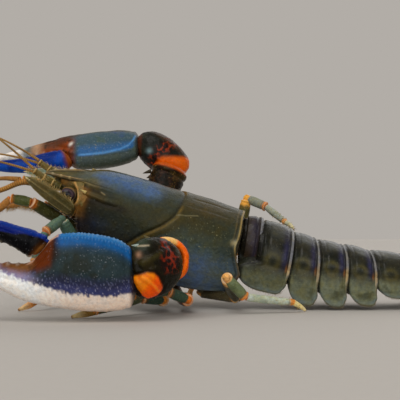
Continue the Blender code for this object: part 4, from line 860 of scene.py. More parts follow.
def claws():
    for word, c in CLAWS.items():
        rows, cols = 236, 180
        x = np.unique(np.concatenate([np.linspace(-0.7, 50, rows), np.linspace(-0.7, 2, 24), np.linspace(48, 50, 14)]))
        q = np.linspace(0, 2 * PI, cols, endpoint=False)
        xx, qq = np.meshgrid(x, q, indexing="ij")
        lo, hi, th = curve(xx, CLAW_X, CLAW_OUTER), curve(xx, CLAW_X, CLAW_INNER), curve(xx, CLAW_X, CLAW_THICK)
        e = 2.0 / 1.8
        close = np.sqrt(np.clip(1 - (1 - np.clip((xx + 0.7) / 2.2, 0, 1)) ** 2, 0.02, 1))
        th = th * close
        lo, hi = (lo + hi) / 2 - (hi - lo) / 2 * close, (lo + hi) / 2 + (hi - lo) / 2 * close
        y = (lo + hi) / 2 + (hi - lo) / 2 * np.sign(np.cos(qq)) * np.abs(np.cos(qq)) ** e
        z = th * np.sign(np.sin(qq)) * np.abs(np.sin(qq)) ** e
        p = c.place(xx, y, z)
        n = normals(p, True)
        inner = hi - y
        outer = y - lo
        face = np.sign(z)
        h = 0.12 * clouds(p, 5.0, 51, 3) + 0.03 * noise(p, 0.9, 52)
        d, k = cells(p, 0.8, 53)
        h -= 0.10 * smooth(d, 0.28, 0.06) * (k > 0.35)
        d2, _ = cells(p, 0.5, 54)
        h += 0.04 * smooth(d2, 0.45, 0.1)
        # shallow furrows along the fixed finger and round the finger's socket
        h -= 0.35 * hill(y - (lo + hi) / 2, 0.0, 0.7) * smooth(xx, 24, 30) * smooth(xx, 48, 42)
        h += 0.28 * hill(y - curve(xx, (18, 20, 23, 26, 30), (8.6, 8.2, 5.2, 3.0, 2.4)), 0, 0.5) * hill(xx, 23, 4.0)
        h -= 0.35 * hill(y - curve(xx, (18, 20, 23, 26, 30), (7.6, 7.2, 4.2, 2.2, 1.6)), 0, 0.5) * hill(xx, 23, 3.5)
        # scalloped inner margin of the palm and low teeth on the fixed finger
        ragged = 1.0 if word == "left" else 0.3
        step = (xx - 1.6) / 0.95 + 0.25 * noise(np.stack([xx, 0 * xx, 0 * xx], -1), 1.7, 57)
        bead = np.clip(np.cos(2 * PI * step) * 0.5 + 0.5, 0, 1)
        rim = smooth(inner, 0.9, 0.15) * smooth(xx, 1.2, 2.4) * smooth(xx, 19.8, 18.6)
        h += rim * (0.17 * bead - 0.02) * ragged
        second = hill(inner, 1.1, 0.26) * smooth(xx, 1.2, 2.4) * smooth(xx, 19.0, 17.6) * (z > 0)
        h += second * (0.10 * np.clip(np.cos(2 * PI * (xx - 2.3) / 0.8), 0, 1) if word == "left" else 0.16)
        gap = smooth(inner, 0.8, 0.1) * smooth(xx, 26.5, 28.0) * smooth(xx, 48.0, 45.5)
        h += gap * (0.2 * np.clip(np.cos(2 * PI * (xx - 28.2) / 2.3), 0, 1) ** 1.5 + 0.35 * hill(xx, 31.0, 0.7))
        # wrist end: a low collar
        h += 0.07 * hill(xx, 1.2, 0.5) - 0.10 * hill(xx, 2.3, 0.5)
        p = p + n * h[..., None]
        paint = (palm_paint_left if word == "left" else palm_paint_right)(xx, y, z, hi, lo, p)
        if word == "left":
            paint = mix(paint, rgb(120, 156, 184), 0.5 * rim * bead * smooth(xx, 16.5, 13.5))
            paint = mix(paint, rgb(92, 142, 190), 0.5 * second * np.clip(np.cos(2 * PI * (xx - 2.3) / 0.8), 0, 1))
            # the inner face is plainer and paler
            paint = mix(paint, rgb(120, 130, 150), smooth(-z / np.maximum(th, 0.1), 0.1, 0.6) * smooth(inner, 0.6, 2.5) * 0.55)
        paint = mix(paint, rgb(236, 226, 208), 0.25 * gap * np.clip(np.cos(2 * PI * (xx - 28.2) / 2.3), 0, 1))
        fleck = 0.22 * smooth(y - lo, 3.5, 5.5) * smooth(xx, 24, 18)
        b = Build()
        b.grid(p, paint, fleck=fleck, mottle=0.9, gloss=0.55, wrap=True, cap=(True, True))
        b.done("claw_" + word, CLAW, ("claw_" + word,), "claw_blue")
        # ---- hinged finger
        ca, sa = math.cos(c.opening), math.sin(c.opening)
        hx, hy = 23.05, 7.55
        x = np.unique(np.concatenate([np.linspace(-1.3, 28.4, 170), np.linspace(-1.3, 0.2, 14), np.linspace(27.4, 28.4, 10)]))
        q = np.linspace(0, 2 * PI, 112, endpoint=False)
        xx, qq = np.meshgrid(x, q, indexing="ij")
        at = np.maximum(xx, 0.0)
        bow, wide, thick = curve(at, FINGER_X, FINGER_BOW), curve(at, FINGER_X, FINGER_WIDE), curve(at, FINGER_X, FINGER_THICK)
        close = np.sqrt(np.clip(1 - (np.minimum(xx, 0.0) / 1.35) ** 2, 0.02, 1))
        wide, thick = wide * close, thick * close
        if word == "right":
            wide, thick, bow = wide * 1.22, thick * 1.2, bow - 0.6 * smooth(xx, 2.0, 7.0)
        lean = np.clip(1 - xx / 5.0, 0, 1) * math.radians(32.0)
        u, w = np.cos(qq), np.sin(qq)
        tooth = smooth(-u, 0.80, 0.97) * smooth(xx, 3.5, 5.0) * smooth(xx, 27, 24)
        y = wide * u - tooth * (0.15 * np.clip(np.cos(2 * PI * (xx - 5) / 2.2), 0, 1) ** 1.5 + 0.35 * hill(xx, 9.4, 0.7))
        z = thick * w
        px, py = xx - y * np.sin(lean), bow + y * np.cos(lean)
        p = c.place(hx + px * ca - py * sa, hy + px * sa + py * ca, z)
        n = normals(p, True)
        h = 0.07 * clouds(p, 3.5, 81, 3)
        d, k = cells(p, 0.75, 83)
        h -= 0.09 * smooth(d, 0.28, 0.06) * (k > 0.4)
        h -= 0.28 * hill(u, 0.25, 0.13) * smooth(xx, 3, 7) * smooth(xx, 27, 22)
        h += 0.06 * smooth(u, 0.85, 0.98) * np.clip(np.cos(2 * PI * xx / 1.3), 0, 1) * smooth(xx, 1.0, 2.0) * smooth(xx, 12, 8)
        h += 0.10 * hill(xx, 1.0, 0.5) - 0.14 * hill(xx, 2.1, 0.45)
        p = p + n * h[..., None]
        if word == "left":
            line = curve(xx, (0, 1.5, 3, 5, 9, 14, 28.4), (0.78, 0.66, 0.55, 0.4, 0.05, -0.1, -0.2))
            above = smooth(u - line + 0.06 * noise(p, 1.0, 84), -0.08, 0.12)
            col = mix(np.broadcast_to(rgb(5, 5, 8), p.shape), rgb(3, 24, 104), above)
            col = mix(col, rgb(7, 50, 138), 0.8 * smooth(u, 0.45, 0.95) * above)
            col = mix(col, rgb(40, 90, 156), 0.25 * smooth(d, 0.26, 0.1) * above * (k > 0.6))
            col = mix(col, rgb(226, 214, 190), smooth(-u, 0.78, 0.95) * smooth(xx, 2.0, 0.2) * 0.9)
            col = mix(col, rgb(150, 92, 34), 0.85 * hill(xx, -0.6, 0.9) * smooth(-u, -0.9, 0.2))
            col = mix(col, rgb(190, 196, 205), 0.8 * smooth(xx, 25.5, 28))
            col = mix(col, rgb(176, 166, 140), 0.4 * np.clip(tooth * np.clip(np.cos(2 * PI * (xx - 5) / 2.2), 0, 1), 0, 1))
        else:
            col = np.broadcast_to(rgb(4, 40, 118), p.shape)
            col = mix(col, rgb(16, 74, 170), 0.8 * smooth(noise(p, 2.2, 85) + u, 0.2, 1.2))
            col = mix(col, rgb(8, 14, 34), 0.8 * smooth(-u, 0.35, 0.8))
            col = mix(col, rgb(112, 50, 14), smooth(xx, 1.8, 0.4))
            col = mix(col, rgb(190, 96, 34), 0.45 * hill(xx, 0.2, 0.6))
            col = mix(col, rgb(170, 190, 215), 0.7 * smooth(xx, 25.5, 28))
        b = Build()
        b.grid(p, col, fleck=0.1, mottle=0.7, gloss=0.7, wrap=True, cap=(True, True))
        b.done("finger_" + word, CLAW, ("finger_" + word,), "claw_blue")


# ================================================================ arms
ARMS = {
    "left": dict(coxa=bpoint(24.4, 5.0, -9.4), under=bpoint(25.2, 6.6, -14.5), hip=vec(-19.6, -8.4, 8.8), elbow=vec(-7.4, -32.0, 15.0),
                 up=vec(0.0, 0.2, 1.0), carpus=vec(-12.4, -36.3, 12.6), axes=(vec(-4.6, -3.7, -1.2), vec(-3.1, 3.9, 0.0), vec(-0.9, -0.6, 7.4))),
    "right": dict(coxa=bpoint(24.4, -5.0, -9.4), under=bpoint(25.6, -6.6, -14.2), hip=vec(-18.2, 18.2, 17.0), elbow=vec(-9.6, 24.6, 41.6),
                  up=vec(1.0, 0.2, 0.0), carpus=vec(-13.0, 27.0, 47.3), axes=(vec(7.0, -0.7, -5.3), vec(3.5, 0.0, 4.6), vec(0.0, 5.3, 0.0))),
}


def arms():
    for word, a in ARMS.items():
        c = CLAWS[word]
        hip, elbow = a["hip"], a["elbow"]
        d = unit(elbow - hip)
        reach = float(np.linalg.norm(elbow - hip))
        # root: coxa, basis and ischium
        b = Build()
        p, x, q = sweep([a["coxa"], a["under"], hip + d * 0.4], (2.3, 2.5, 2.3), (2.3, 2.6, 2.5), (0.0, 0.0, 1.0), 70, 56, round0=0.08)
        n = normals(p, True)
        h = 0.12 * clouds(p, 2.6, 91, 3) - 0.35 * hill(x, 0.42, 0.03) + 0.22 * hill(x, 0.37, 0.025) - 0.3 * hill(x, 0.62, 0.025) + 0.2 * hill(x, 0.97, 0.03)
        p = p + n * h[..., None]
        col = mix(np.broadcast_to(rgb(62, 54, 40), p.shape), rgb(96, 88, 70), smooth(clouds(p, 3, 92, 3), 0, 0.8))
        col = mix(col, rgb(190, 120, 60), 0.7 * (hill(x, 0.42, 0.03) + hill(x, 0.62, 0.025)))
        b.grid(p, col, fleck=0.3, gloss=0.4, wrap=True, cap=(True, True))
        b.done("arm_%s_root" % word, JOINT, ("arm_%s_root" % word,), "dark_joint")
        # merus: widens to the elbow, where its rim is rolled and orange
        b = Build()
        pts = [hip + d * 0.2, hip + d * 1.2, hip + (elbow - hip) * 0.35, hip + (elbow - hip) * 0.7, elbow - d * 1.4, elbow + d * 0.5]
        p, x, q = sweep(pts, (2.0, 2.7, 3.5, 4.5, 5.25, 4.75), (2.2, 3.0, 4.2, 5.2, 5.6, 5.0), a["up"], 150, 120, power=2.15)
        n = normals(p, True)
        mm = (1 - x) * reach
        ends = [(0.9, 0.25), (0.78, 0.2), (0.70, -0.2), (0.66, -0.8), (0.6, -1.5), (0.4, -1.8), (0.15, -1.9)]  # the rolled rim and the hollow inside it
        middle = p[-1].mean(axis=0)
        p = np.concatenate([p, np.stack([middle + (p[-1] - middle) * k1 + d * k2 for k1, k2 in ends])])
        n = np.concatenate([n, np.broadcast_to(d, (len(ends),) + n.shape[1:])])
        inside = np.concatenate([np.zeros(len(mm)), np.array([0.0, 0.0, 0.6, 1, 1, 1, 1])])[:, None] * np.ones(p.shape[1])
        x, q, mm = (np.concatenate([v, np.broadcast_to(v[-1], (len(ends), v.shape[1]))]) for v in (x, q, mm))
        h = 0.14 * clouds(p, 3.2, 93, 3) + 0.04 * noise(p, 0.9, 94) + 0.32 * hill(mm, 1.15, 0.75) - 0.34 * hill(mm, 2.9, 0.5)
        d1, k1 = cells(p, 1.3, 95)
        h += 0.14 * smooth(d1, 0.4, 0.1) * (k1 > 0.45) * smooth(mm, 2.5, 4.5)
        p = p + n * h[..., None]
        vein, _ = cells(p + 0.35 * noise(p, 1.1, 98)[..., None], 1.5, 97)
        if word == "left":
            net = mix(np.broadcast_to(rgb(36, 14, 6), p.shape), rgb(150, 48, 10), 0.8 * smooth(vein, 0.52, 0.72))
            col = mix(net, rgb(50, 42, 20), smooth(mm, 4.0, 8.0))
            orange = mix(np.broadcast_to(rgb(255, 112, 4), p.shape), rgb(248, 200, 116), smooth(np.abs(np.sin(q)), 0.86, 0.99))
            orange = mix(orange, rgb(226, 84, 4), 0.5 * smooth(clouds(p, 1.6, 99, 3), 0.1, 0.8))
            col = mix(col, orange, smooth(mm, 2.6, 2.0))
            col = mix(col, rgb(110, 36, 6), 0.6 * hill(mm, 2.6, 0.3))
            # painted shade: the reticulated membrane in the hollow inside the rolled rim is painted a fifth darker
            col = mix(col, net * 0.8, inside)
        else:
            col = mix(np.broadcast_to(rgb(24, 18, 10), p.shape), rgb(62, 48, 22), smooth(clouds(p, 3.0, 96, 3), 0.0, 0.8))
            col = mix(col, rgb(84, 40, 18), 0.2 * smooth(vein, 0.55, 0.75) * smooth(mm, 12, 5))
            col = mix(col, rgb(196, 84, 14), smooth(mm, 1.8, 0.9) * 0.95 * smooth(p[..., 2], 38.5, 41.0))
            # the hollow inside the rolled rim is painted dark red: partly the joint membrane's colour, partly painted
            # shade
            col = mix(col, rgb(60, 20, 8), inside * 0.8)
        col = mix(col, rgb(150, 100, 40), 0.6 * hill(x, 0.02, 0.03))
        b.grid(p, col, fleck=0.35, gloss=0.5, wrap=True, cap=(True, True))
        # spines on the inner edge of the merus
        for t in (0.30, 0.46, 0.62, 0.78):
            i = int(np.argmin(np.abs(x[:, 0] - t)))
            k = int(np.argmin((p[i] @ vec(0.5, 0.7, -0.5)))) if word == "left" else int(np.argmin((p[i] @ vec(1.0, 0.6, 0.1))))
            foot = p[i, k]
            out = unit(foot - p[i].mean(axis=0))
            cone(b, foot - out * 0.15, foot + out * 1.1 + d * 0.5, 0.5, rgb(120, 92, 52) if word == "left" else rgb(70, 50, 26))
        b.done("arm_%s_merus" % word, JOINT, ("arm_%s_merus" % word,), "dark_joint")
        carpus(word, a, c, elbow, d)


def carpus(word, a, c, elbow, d):
    """The wrist piece, a rounded block with a dark top and an orange lobe."""
    pole, ax1, ax2 = a["axes"]
    u, v = np.meshgrid(np.linspace(0.02, PI - 0.02, 132), np.linspace(0, 2 * PI, 160, endpoint=False), indexing="ij")
    near_elbow = u < PI / 2 if (a["elbow"] - a["carpus"]) @ pole < 0 else u > PI / 2
    broad, longer = (0.8, 1.55) if word == "left" else (0.7, 1.2)
    su = np.where(near_elbow, np.abs(np.sin(u)) ** broad, np.abs(np.sin(u)) ** 0.88)
    reach = np.where(near_elbow, longer, 1.0) * np.cos(u)
    p = a["carpus"] - reach[..., None] * pole + su[..., None] * (np.cos(v)[..., None] * ax1 + np.sin(v)[..., None] * ax2)
    # flatten towards the elbow and the wrist, as the CAD cuts do
    for point, normal in ((elbow - d * 0.9, -d), (c.wrist + c.x * 0.9, c.x)):
        over = (p - point) @ normal
        p = p - (np.maximum(over, 0) * 0.93)[..., None] * normal
    n = unit(p - a["carpus"])
    x, z = p[..., 0], p[..., 2]
    h = 0.18 * clouds(p, 3.4, 101, 3) + 0.05 * noise(p, 0.8, 102)
    d1, k1 = cells(p, 1.15, 103)
    if word == "left":
        lobe = within(x, z, [(-16.2, 11.0), (-14.5, 11.3), (-12.6, 11.9), (-10.9, 11.7), (-9.9, 10.7), (-8.9, 8.2), (-9.2, 7.2), (-10.4, 6.1), (-12.6, 5.3), (-13.9, 6.0), (-15.3, 8.1), (-16.3, 10.0)])
        crease = away(x, z, [(-13.8, 11.0), (-12.3, 10.2), (-10.9, 9.0), (-9.9, 7.4)])
        front = smooth(-(p[..., 1] - a["carpus"][1]), -2.5, 0.5)
        on = smooth(lobe, -0.5, 0.5) * front
        h += 0.5 * smooth(lobe, -0.4, 1.8) * front - 0.4 * hill(lobe, -0.35, 0.4) * front + 0.14 * hill(crease, 0, 0.3) * on
        ridge = away(x, z, [(-13.6, 14.2), (-11.0, 15.4), (-8.2, 17.0)])
        h += 0.35 * hill(ridge, 0, 0.6) * front - 0.25 * hill(ridge, 1.5, 0.5) * front * (1 - on)
        h += 0.12 * smooth(d1, 0.4, 0.1) * (k1 > 0.4) * (1 - on)
        base = mix(np.broadcast_to(rgb(18, 15, 3), p.shape), rgb(36, 31, 9), smooth(clouds(p, 2.6, 104, 3), -0.1, 0.7))
        base = mix(base, rgb(64, 58, 24), 0.6 * hill(ridge, 0, 0.7) * front)
        vein, _ = cells(p + 0.3 * noise(p, 1.0, 98)[..., None], 1.3, 97)
        net = smooth(x, -10.2, -8.4)
        base = mix(base, mix(np.broadcast_to(rgb(26, 8, 4), p.shape), rgb(130, 36, 6), smooth(vein, 0.5, 0.7)), net * front * smooth(z, 11.0, 13.0))
        base = mix(base, rgb(66, 84, 66), 0.45 * smooth(z, 16.0, 19.0) * smooth(x, -11, -14))
        orange = mix(np.broadcast_to(rgb(246, 136, 4), p.shape), rgb(255, 90, 0), smooth(x * 0.75 - z * 0.65, -16.0, -14.2))
        orange = mix(orange, rgb(255, 178, 52), 0.55 * hill(np.hypot(x + 14.2, z - 9.8), 0, 1.0))
        orange = mix(orange, rgb(255, 150, 40), 0.7 * hill(crease, 0, 0.3))
        orange = mix(orange, rgb(206, 66, 0), 0.4 * hill(crease, 0.75, 0.3))
        orange = mix(orange, rgb(216, 84, 2), 0.3 * smooth(-clouds(p, 2.0, 105, 3), 0.2, 0.9))
        col = mix(base, orange, on)
        col = mix(col, rgb(24, 12, 4), 0.8 * hill(lobe, -0.5, 0.35) * front)
        col = mix(col, rgb(196, 150, 120), 0.5 * hill(np.hypot(x + 14.7, z - 16.2), 0, 0.7))
        col = mix(col, rgb(232, 204, 150), 0.85 * hill(away(x, z, [(-16.6, 12.4), (-16.5, 11.3)]), 0, 0.3) * front)
        col = mix(col, rgb(188, 176, 150), 0.7 * hill(away(x, z, [(-15.0, 18.2), (-12.4, 18.3)]), 0, 0.22) * front)
        # painted shadow: a dark strip down the outer end beside the orange lobe, where the wrist piece meets the palm's
        # end
        col = mix(col, rgb(18, 14, 8), 0.85 * smooth(away(x, z, [(-17.2, 11.6), (-16.9, 8.0)]), 0.9, 0.3) * (1 - on))
        # behind, towards the body, it is plain olive
        col = mix(col, rgb(70, 64, 40), 0.6 * smooth(p[..., 1] - a["carpus"][1], 0.5, 2.5))
        spines = [((-14.2, -38.6, 18.2), (-16.6, -39.4, 18.4), rgb(150, 166, 158)), ((-16.0, -37.4, 14.6), (-17.2, -38.4, 15.2), rgb(216, 180, 150)),
                  ((-12.4, -34.6, 19.6), (-14.0, -34.4, 20.8), rgb(90, 84, 50))]
    else:
        px = (x + 19.6)
        h += 0.1 * smooth(d1, 0.4, 0.1) * (k1 > 0.4)
        base = mix(np.broadcast_to(rgb(24, 26, 20), p.shape), rgb(42, 44, 34), smooth(clouds(p, 3.0, 106, 3), -0.2, 0.6))
        vein, _ = cells(p + 0.3 * noise(p, 1.0, 98)[..., None], 1.3, 107)
        t = (p - c.wrist) @ unit(elbow - c.wrist)
        reach = float(np.linalg.norm(elbow - c.wrist))
        base = mix(base, mix(np.broadcast_to(rgb(34, 14, 8), p.shape), rgb(150, 52, 16), smooth(vein, 0.5, 0.7)), smooth(t / reach, 0.42, 0.62) * smooth(t / reach, 0.85, 0.66))
        base = mix(base, rgb(226, 100, 8), smooth(t / reach, 0.66, 0.80) * smooth(z, 46.6, 44.8))
        base = mix(base, rgb(96, 58, 26), 0.35 * smooth((p - a["carpus"]) @ unit(vec(0.6, 0, 0.8)), 3.2, 4.8))
        base = mix(base, rgb(112, 46, 18), 0.4 * smooth(px, 1.4, 0.4))
        spot = np.hypot(x + 16.1, z - 47.6)
        base = mix(base, rgb(128, 158, 164), 0.85 * hill(spot, 0, 0.85) * smooth(p[..., 1], 27.5, 25.5))
        col = mix(base, rgb(20, 14, 8), 0.7 * hill(t / reach, 0.66, 0.02))
        spines = [((-15.6, 23.0, 41.2), (-18.2, 22.4, 40.4), rgb(60, 52, 36)), ((-15.2, 22.6, 39.6), (-17.0, 22.0, 38.9), rgb(60, 52, 36))]
    p = p + n * h[..., None]
    b = Build()
    b.grid(p, col, fleck=0.0, mottle=0.7, gloss=0.6, wrap=True, cap=(True, True))
    for foot, tip, colour in spines:
        cone(b, foot, tip, 0.7, colour)
    b.done("arm_%s_carpus" % word, JOINT, ("arm_%s_carpus" % word,), "orange")


# ================================================================ walking legs
LEG_DROP = {"left": 3.6, "right": 2.8}
LEG_ROOT_S = {2: 30.5, 3: 36.3, 4: 42.2, 5: 50.5}
LEG_EXTRA = {("left", 2): 3.2, ("left", 5): 0.6}
LEGS = {
    ("left", 2): ((-27.6, -5.0, 4.4), (-37.6, -14.0, 25.2), (-41.4, -18.0, 21.6), (-43.6, -22.0, 13.6), (-45.4, -24.0, 7.6)),
    ("left", 3): ((-11.6, -4.8, 3.3), (-9.8, -15.6, 3.4), (-15.3, -21.0, 4.3), (-26.6, -30.6, 1.8), (-32.2, -31.6, 0.0)),
    ("left", 4): ((-5.4, -4.8, 3.1), (-3.2, -18.6, 3.7), (-8.4, -22.8, 6.2), (-17.2, -29.2, 5.4), (-21.4, -30.2, 3.6)),
    ("left", 5): ((10.0, -8.0, 3.4), (6.9, -22.0, 9.8), (12.0, -19.4, 4.4), (25.0, -15.6, 2.8), (28.7, -13.4, 0.0)),
    ("right", 2): ((-21.0, 14.5, 12.0), (-32.5, 9.5, 17.4), (-38.6, 2.5, 12.4), (-44.4, -9.6, 3.0), (-49.6, -12.6, 0.0)),
    ("right", 3): ((-9.0, 18.2, 11.0), (-8.5, 29.0, 19.5), (-4.5, 28.6, 12.5), (-2.6, 24.0, 3.8), (-4.2, 22.0, 0.0)),
    ("right", 4): ((0.6, 17.6, 10.0), (3.6, 29.8, 18.5), (7.6, 28.2, 12.2), (8.8, 20.4, 4.4), (12.4, 18.2, 0.0)),
    ("right", 5): ((10.6, 17.8, 14.4), (14.5, 17.2, 32.3), (20.3, 13.8, 29.5), (25.6, 8.0, 24.6), (27.9, 5.6, 22.5)),
}
LEG_LOOK = {  # merus, carpus, propodus, dactyl, knee colours
    ("left", 2): (rgb(70, 96, 84), rgb(88, 112, 98), rgb(84, 116, 104), rgb(206, 130, 60), rgb(80, 104, 92)),
    ("left", 3): (rgb(62, 84, 72), rgb(58, 80, 68), rgb(84, 92, 68), rgb(150, 118, 60), rgb(226, 140, 54)),
    ("left", 4): (rgb(96, 60, 44), rgb(64, 86, 72), rgb(70, 84, 66), rgb(150, 112, 60), rgb(224, 120, 40)),
    ("left", 5): (rgb(70, 68, 50), rgb(104, 116, 84), rgb(184, 194, 180), rgb(238, 220, 156), rgb(232, 176, 108)),
    ("right", 2): (rgb(60, 84, 76), rgb(64, 92, 84), rgb(96, 108, 84), rgb(206, 130, 60), rgb(210, 126, 52)),
    ("right", 3): (rgb(58, 74, 60), rgb(62, 80, 64), rgb(84, 90, 66), rgb(186, 128, 64), rgb(214, 136, 56)),
    ("right", 4): (rgb(60, 72, 56), rgb(64, 78, 60), rgb(88, 92, 68), rgb(190, 134, 70), rgb(214, 136, 56)),
    ("right", 5): (rgb(84, 80, 44), rgb(132, 136, 122), rgb(152, 158, 148), rgb(176, 176, 150), rgb(236, 172, 74)),
}


def podomere(b, pts, half, tall, up, tone, near, far, cols=44, rows=64, power=2.0, seed=0, ring=0.9, gloss=0.5, tint=None, pale=0.55):
    """One joint of a leg: slender at the near end, flared and rimmed at the far one. near and far colour its ends."""
    pts = [np.asarray(v, float) for v in pts]
    p, x, q = sweep(pts, half, tall, up, rows, cols, power, round0=0.05, round1=0.03)
    length = sum(float(np.linalg.norm(v - w)) for v, w in zip(pts, pts[1:]))
    end = (1 - x) * length
    n = normals(p, True)
    h = 0.05 * clouds(p, 1.8, 110 + seed, 3) + 0.10 * hill(end, 0.35, 0.25) - 0.10 * hill(end, 0.95, 0.25) - 0.06 * hill(q, PI / 2, 0.35) * smooth(x, 0.1, 0.3) * smooth(x, 0.95, 0.75)
    p = p + n * h[..., None]
    c = np.broadcast_to(tone, p.shape)
    c = mix(c, tone * vec(0.62, 0.66, 0.6), 0.7 * smooth(clouds(p, 2.2, 120 + seed, 3), 0.05, 0.8))
    if tint is not None:
        c = mix(c, tint, 0.8 * smooth(np.sin(q), 0.2, 0.85))
    wavy = 0.25 * ring * noise(p, 0.9, 125 + seed)
    c = mix(c, near, smooth(x * length + wavy, ring * 0.85, ring * 0.25))
    c = mix(c, far, smooth(end + wavy, ring * 1.4, ring * 0.6))
    c = mix(c, rgb(232, 222, 196), pale * hill(end, 0.18, 0.13))
    c = mix(c, far * 0.4, 0.5 * hill(end, ring * 1.5, 0.14))
    b.grid(p, c, fleck=0.5, gloss=gloss, wrap=True, cap=(True, True))
    return p, x, q


def legs():
    for (word, number), joints in LEGS.items():
        side = 1 if word == "left" else -1
        hip, knee, wrist, toe, tip = (vec(*v) for v in joints)
        merus, carp, prop, dact, knee_c = LEG_LOOK[(word, number)]
        s = LEG_ROOT_S[number]
        root = bpoint(s, side * 5.0, -float(np.interp(s, STATION, ROOF_DEPTH)) - 1.6)
        under = bpoint(s, side * 5.6, -float(np.interp(s, STATION, SKIRT_DEPTH)) - LEG_DROP[word] - LEG_EXTRA.get((word, number), 0.0))
        b = Build()
        seed = number * 5 + (0 if side == 1 else 40)
        d0 = unit(under - root)
        podomere(b, [root - d0 * 0.3, (root + under) / 2, under + d0 * 0.2], (1.9, 1.95, 1.6), (1.8, 1.8, 1.6), T, rgb(92, 88, 66), rgb(120, 104, 76), rgb(196, 140, 80), seed=seed)
        dh = unit(hip - under)
        podomere(b, [under - dh * 0.1, (under + hip) / 2, hip + dh * 0.1], (1.35, 1.4, 1.35), (1.35, 1.4, 1.4), UP, mix(merus[None], rgb(96, 84, 60), vec(0.5))[0], rgb(190, 130, 70),
                 rgb(206, 150, 80), seed=seed + 1)
        dm = unit(knee - hip)
        podomere(b, [hip, hip + (knee - hip) * 0.3, hip + (knee - hip) * 0.75, knee - dm * 0.55], (1.15, 1.6, 1.75, 1.45), (1.3, 1.75, 1.9, 1.6), (0.1, 0.2, 1.0), merus, rgb(186, 130, 66), knee_c,
                 seed=seed + 2, rows=90, ring=1.1 if number != 5 else 1.7)
        # the knee: a soft orange hinge
        u, v = np.meshgrid(np.linspace(0.05, PI - 0.05, 22), np.linspace(0, 2 * PI, 28, endpoint=False), indexing="ij")
        dk = unit(wrist - knee)
        turn = unit(dm + dk)
        e1 = unit(np.cross(turn, dm - dk + 1e-6))
        e2 = np.cross(turn, e1)
        ball = knee + 1.2 * np.cos(u)[..., None] * turn + 1.08 * np.sin(u)[..., None] * (np.cos(v)[..., None] * e1 + np.sin(v)[..., None] * e2)
        ball += 0.08 * noise(ball, 0.9, 5)[..., None] * unit(ball - knee)
        b.grid(ball, mix(np.broadcast_to(knee_c, ball.shape), knee_c * 0.5, smooth(clouds(ball, 1.2, 6, 2), 0.1, 0.8)), gloss=0.5, wrap=True, cap=(True, True))
        b.done("leg_%s_%d_upper" % (word, number), LEG, ("leg_%s_%d_upper" % (word, number),), "leg_green")
        b = Build()
        podomere(b, [knee + dk * 0.5, knee + (wrist - knee) * 0.4, wrist - dk * 0.1], (1.05, 1.35, 1.3), (1.1, 1.45, 1.4), (0.1, 0.15, 1.0), carp, knee_c, rgb(206, 122, 48), seed=seed + 3, ring=0.8, pale=0.35)
        dp = unit(toe - wrist)
        long_pincer = number in (2, 3)
        podomere(b, [wrist - dk * 0.15, wrist + (toe - wrist) * 0.35, wrist + (toe - wrist) * 0.75, toe - dp * 0.1], (0.95, 1.2, 1.1, 0.95) if long_pincer else (0.9, 1.05, 0.9, 0.8),
                 (1.0, 1.3, 1.2, 1.0) if long_pincer else (0.95, 1.1, 0.95, 0.85), (0.1, 0.15, 1.0), prop, rgb(204, 120, 50), rgb(204, 132, 58), seed=seed + 4, rows=80, ring=0.8, pale=0.35)
        # pincers on the first two walking legs, a plain curved claw on the others
        end = tip + vec(0, 0, 0.02)
        if end[2] > 0.3:
            end = tip
        up = vec(0.1, 0.15, 1.0)
        dd = unit(tip - toe)
        lift = unit(np.cross(np.cross(dd, up), dd))
        floor_tip = tip[2] < 0.01
        foot_r = 0.40 if floor_tip else 0.16
        mid = (toe + tip) / 2 + lift * (0.35 if floor_tip else 0.25)
        p, x, q = sweep([toe - dd * 0.3, mid, tip + (vec(0, 0, foot_r * 0.98) if floor_tip else vec(0, 0, 0))], (0.8, 0.6, foot_r), (0.82, 0.64, foot_r), up, 48, 30, round0=0.06, round1=0.05)
        c = mix(np.broadcast_to(dact, p.shape), rgb(236, 222, 178), 0.6 * smooth(x, 0.3, 0.8))
        c = mix(c, rgb(120, 70, 26), smooth(x, 0.9, 1.0))
        c = mix(c, rgb(214, 140, 62), smooth(x, 0.14, 0.04))
        p[..., 2] = np.maximum(p[..., 2], 0.0)
        b.grid(p, c, fleck=0.4, gloss=0.5, wrap=True, cap=(True, True))
        if long_pincer:
            low = toe - lift * 0.5
            fix = low + (tip - toe) * 0.9 - lift * 0.12
            fix[2] = max(fix[2], 0.3)
            p, x, q = sweep([wrist + (toe - wrist) * 0.88 - lift * 0.35, (low + fix) / 2 - lift * 0.1, fix], (0.7, 0.45, 0.14), (0.7, 0.45, 0.14), up, 40, 24, round0=0.06, round1=0.05)
            p[..., 2] = np.maximum(p[..., 2], 0.0)
            b.grid(p, mix(np.broadcast_to(dact * 0.9, p.shape), rgb(230, 210, 160), 0.6 * smooth(x, 0.5, 0.95)), fleck=0.3, wrap=True, cap=(True, True))
        b.done("leg_%s_%d_lower" % (word, number), LEG, ("leg_%s_%d_lower" % (word, number),), "leg_green")


# ================================================================ abdomen
FORWARD = {"tail_ring_2": (5.0, 2.6)}
RINGS = (
    ("tail_ring_1", (12.2, 16.9), (16.4, 16.3), (9, 9), 22, (7.4, 8.2), (9.8, 9.8), 3.2, (0.0, 0.0)),
    ("tail_ring_2", (16.9, 16.2), (25.0, 14.1), (9, 11), 15, (10.6, 11.4), (9.3, 8.4), 8.3, (0.0, 0.8)),
    ("tail_ring_3", (25.5, 14.0), (32.7, 12.6), (10, 5), 9, (11.2, 11.4), (7.9, 7.2), 10.4, (1.3, 1.5)),
    ("tail_ring_4", (33.2, 12.5), (40.6, 11.5), (5, 4), 6, (11.2, 11.1), (7.2, 6.5), 10.0, (1.5, 1.6)),
    ("tail_ring_5", (41.1, 11.4), (48.6, 10.2), (4, 0), 5, (10.9, 10.5), (6.9, 6.2), 8.7, (1.6, 1.6)),
    ("tail_ring_6", (49.1, 10.1), (58.4, 9.4), (0, -3), 5, (10.1, 8.6), (6.5, 5.9), 5.9, (1.6, 1.0)),
)


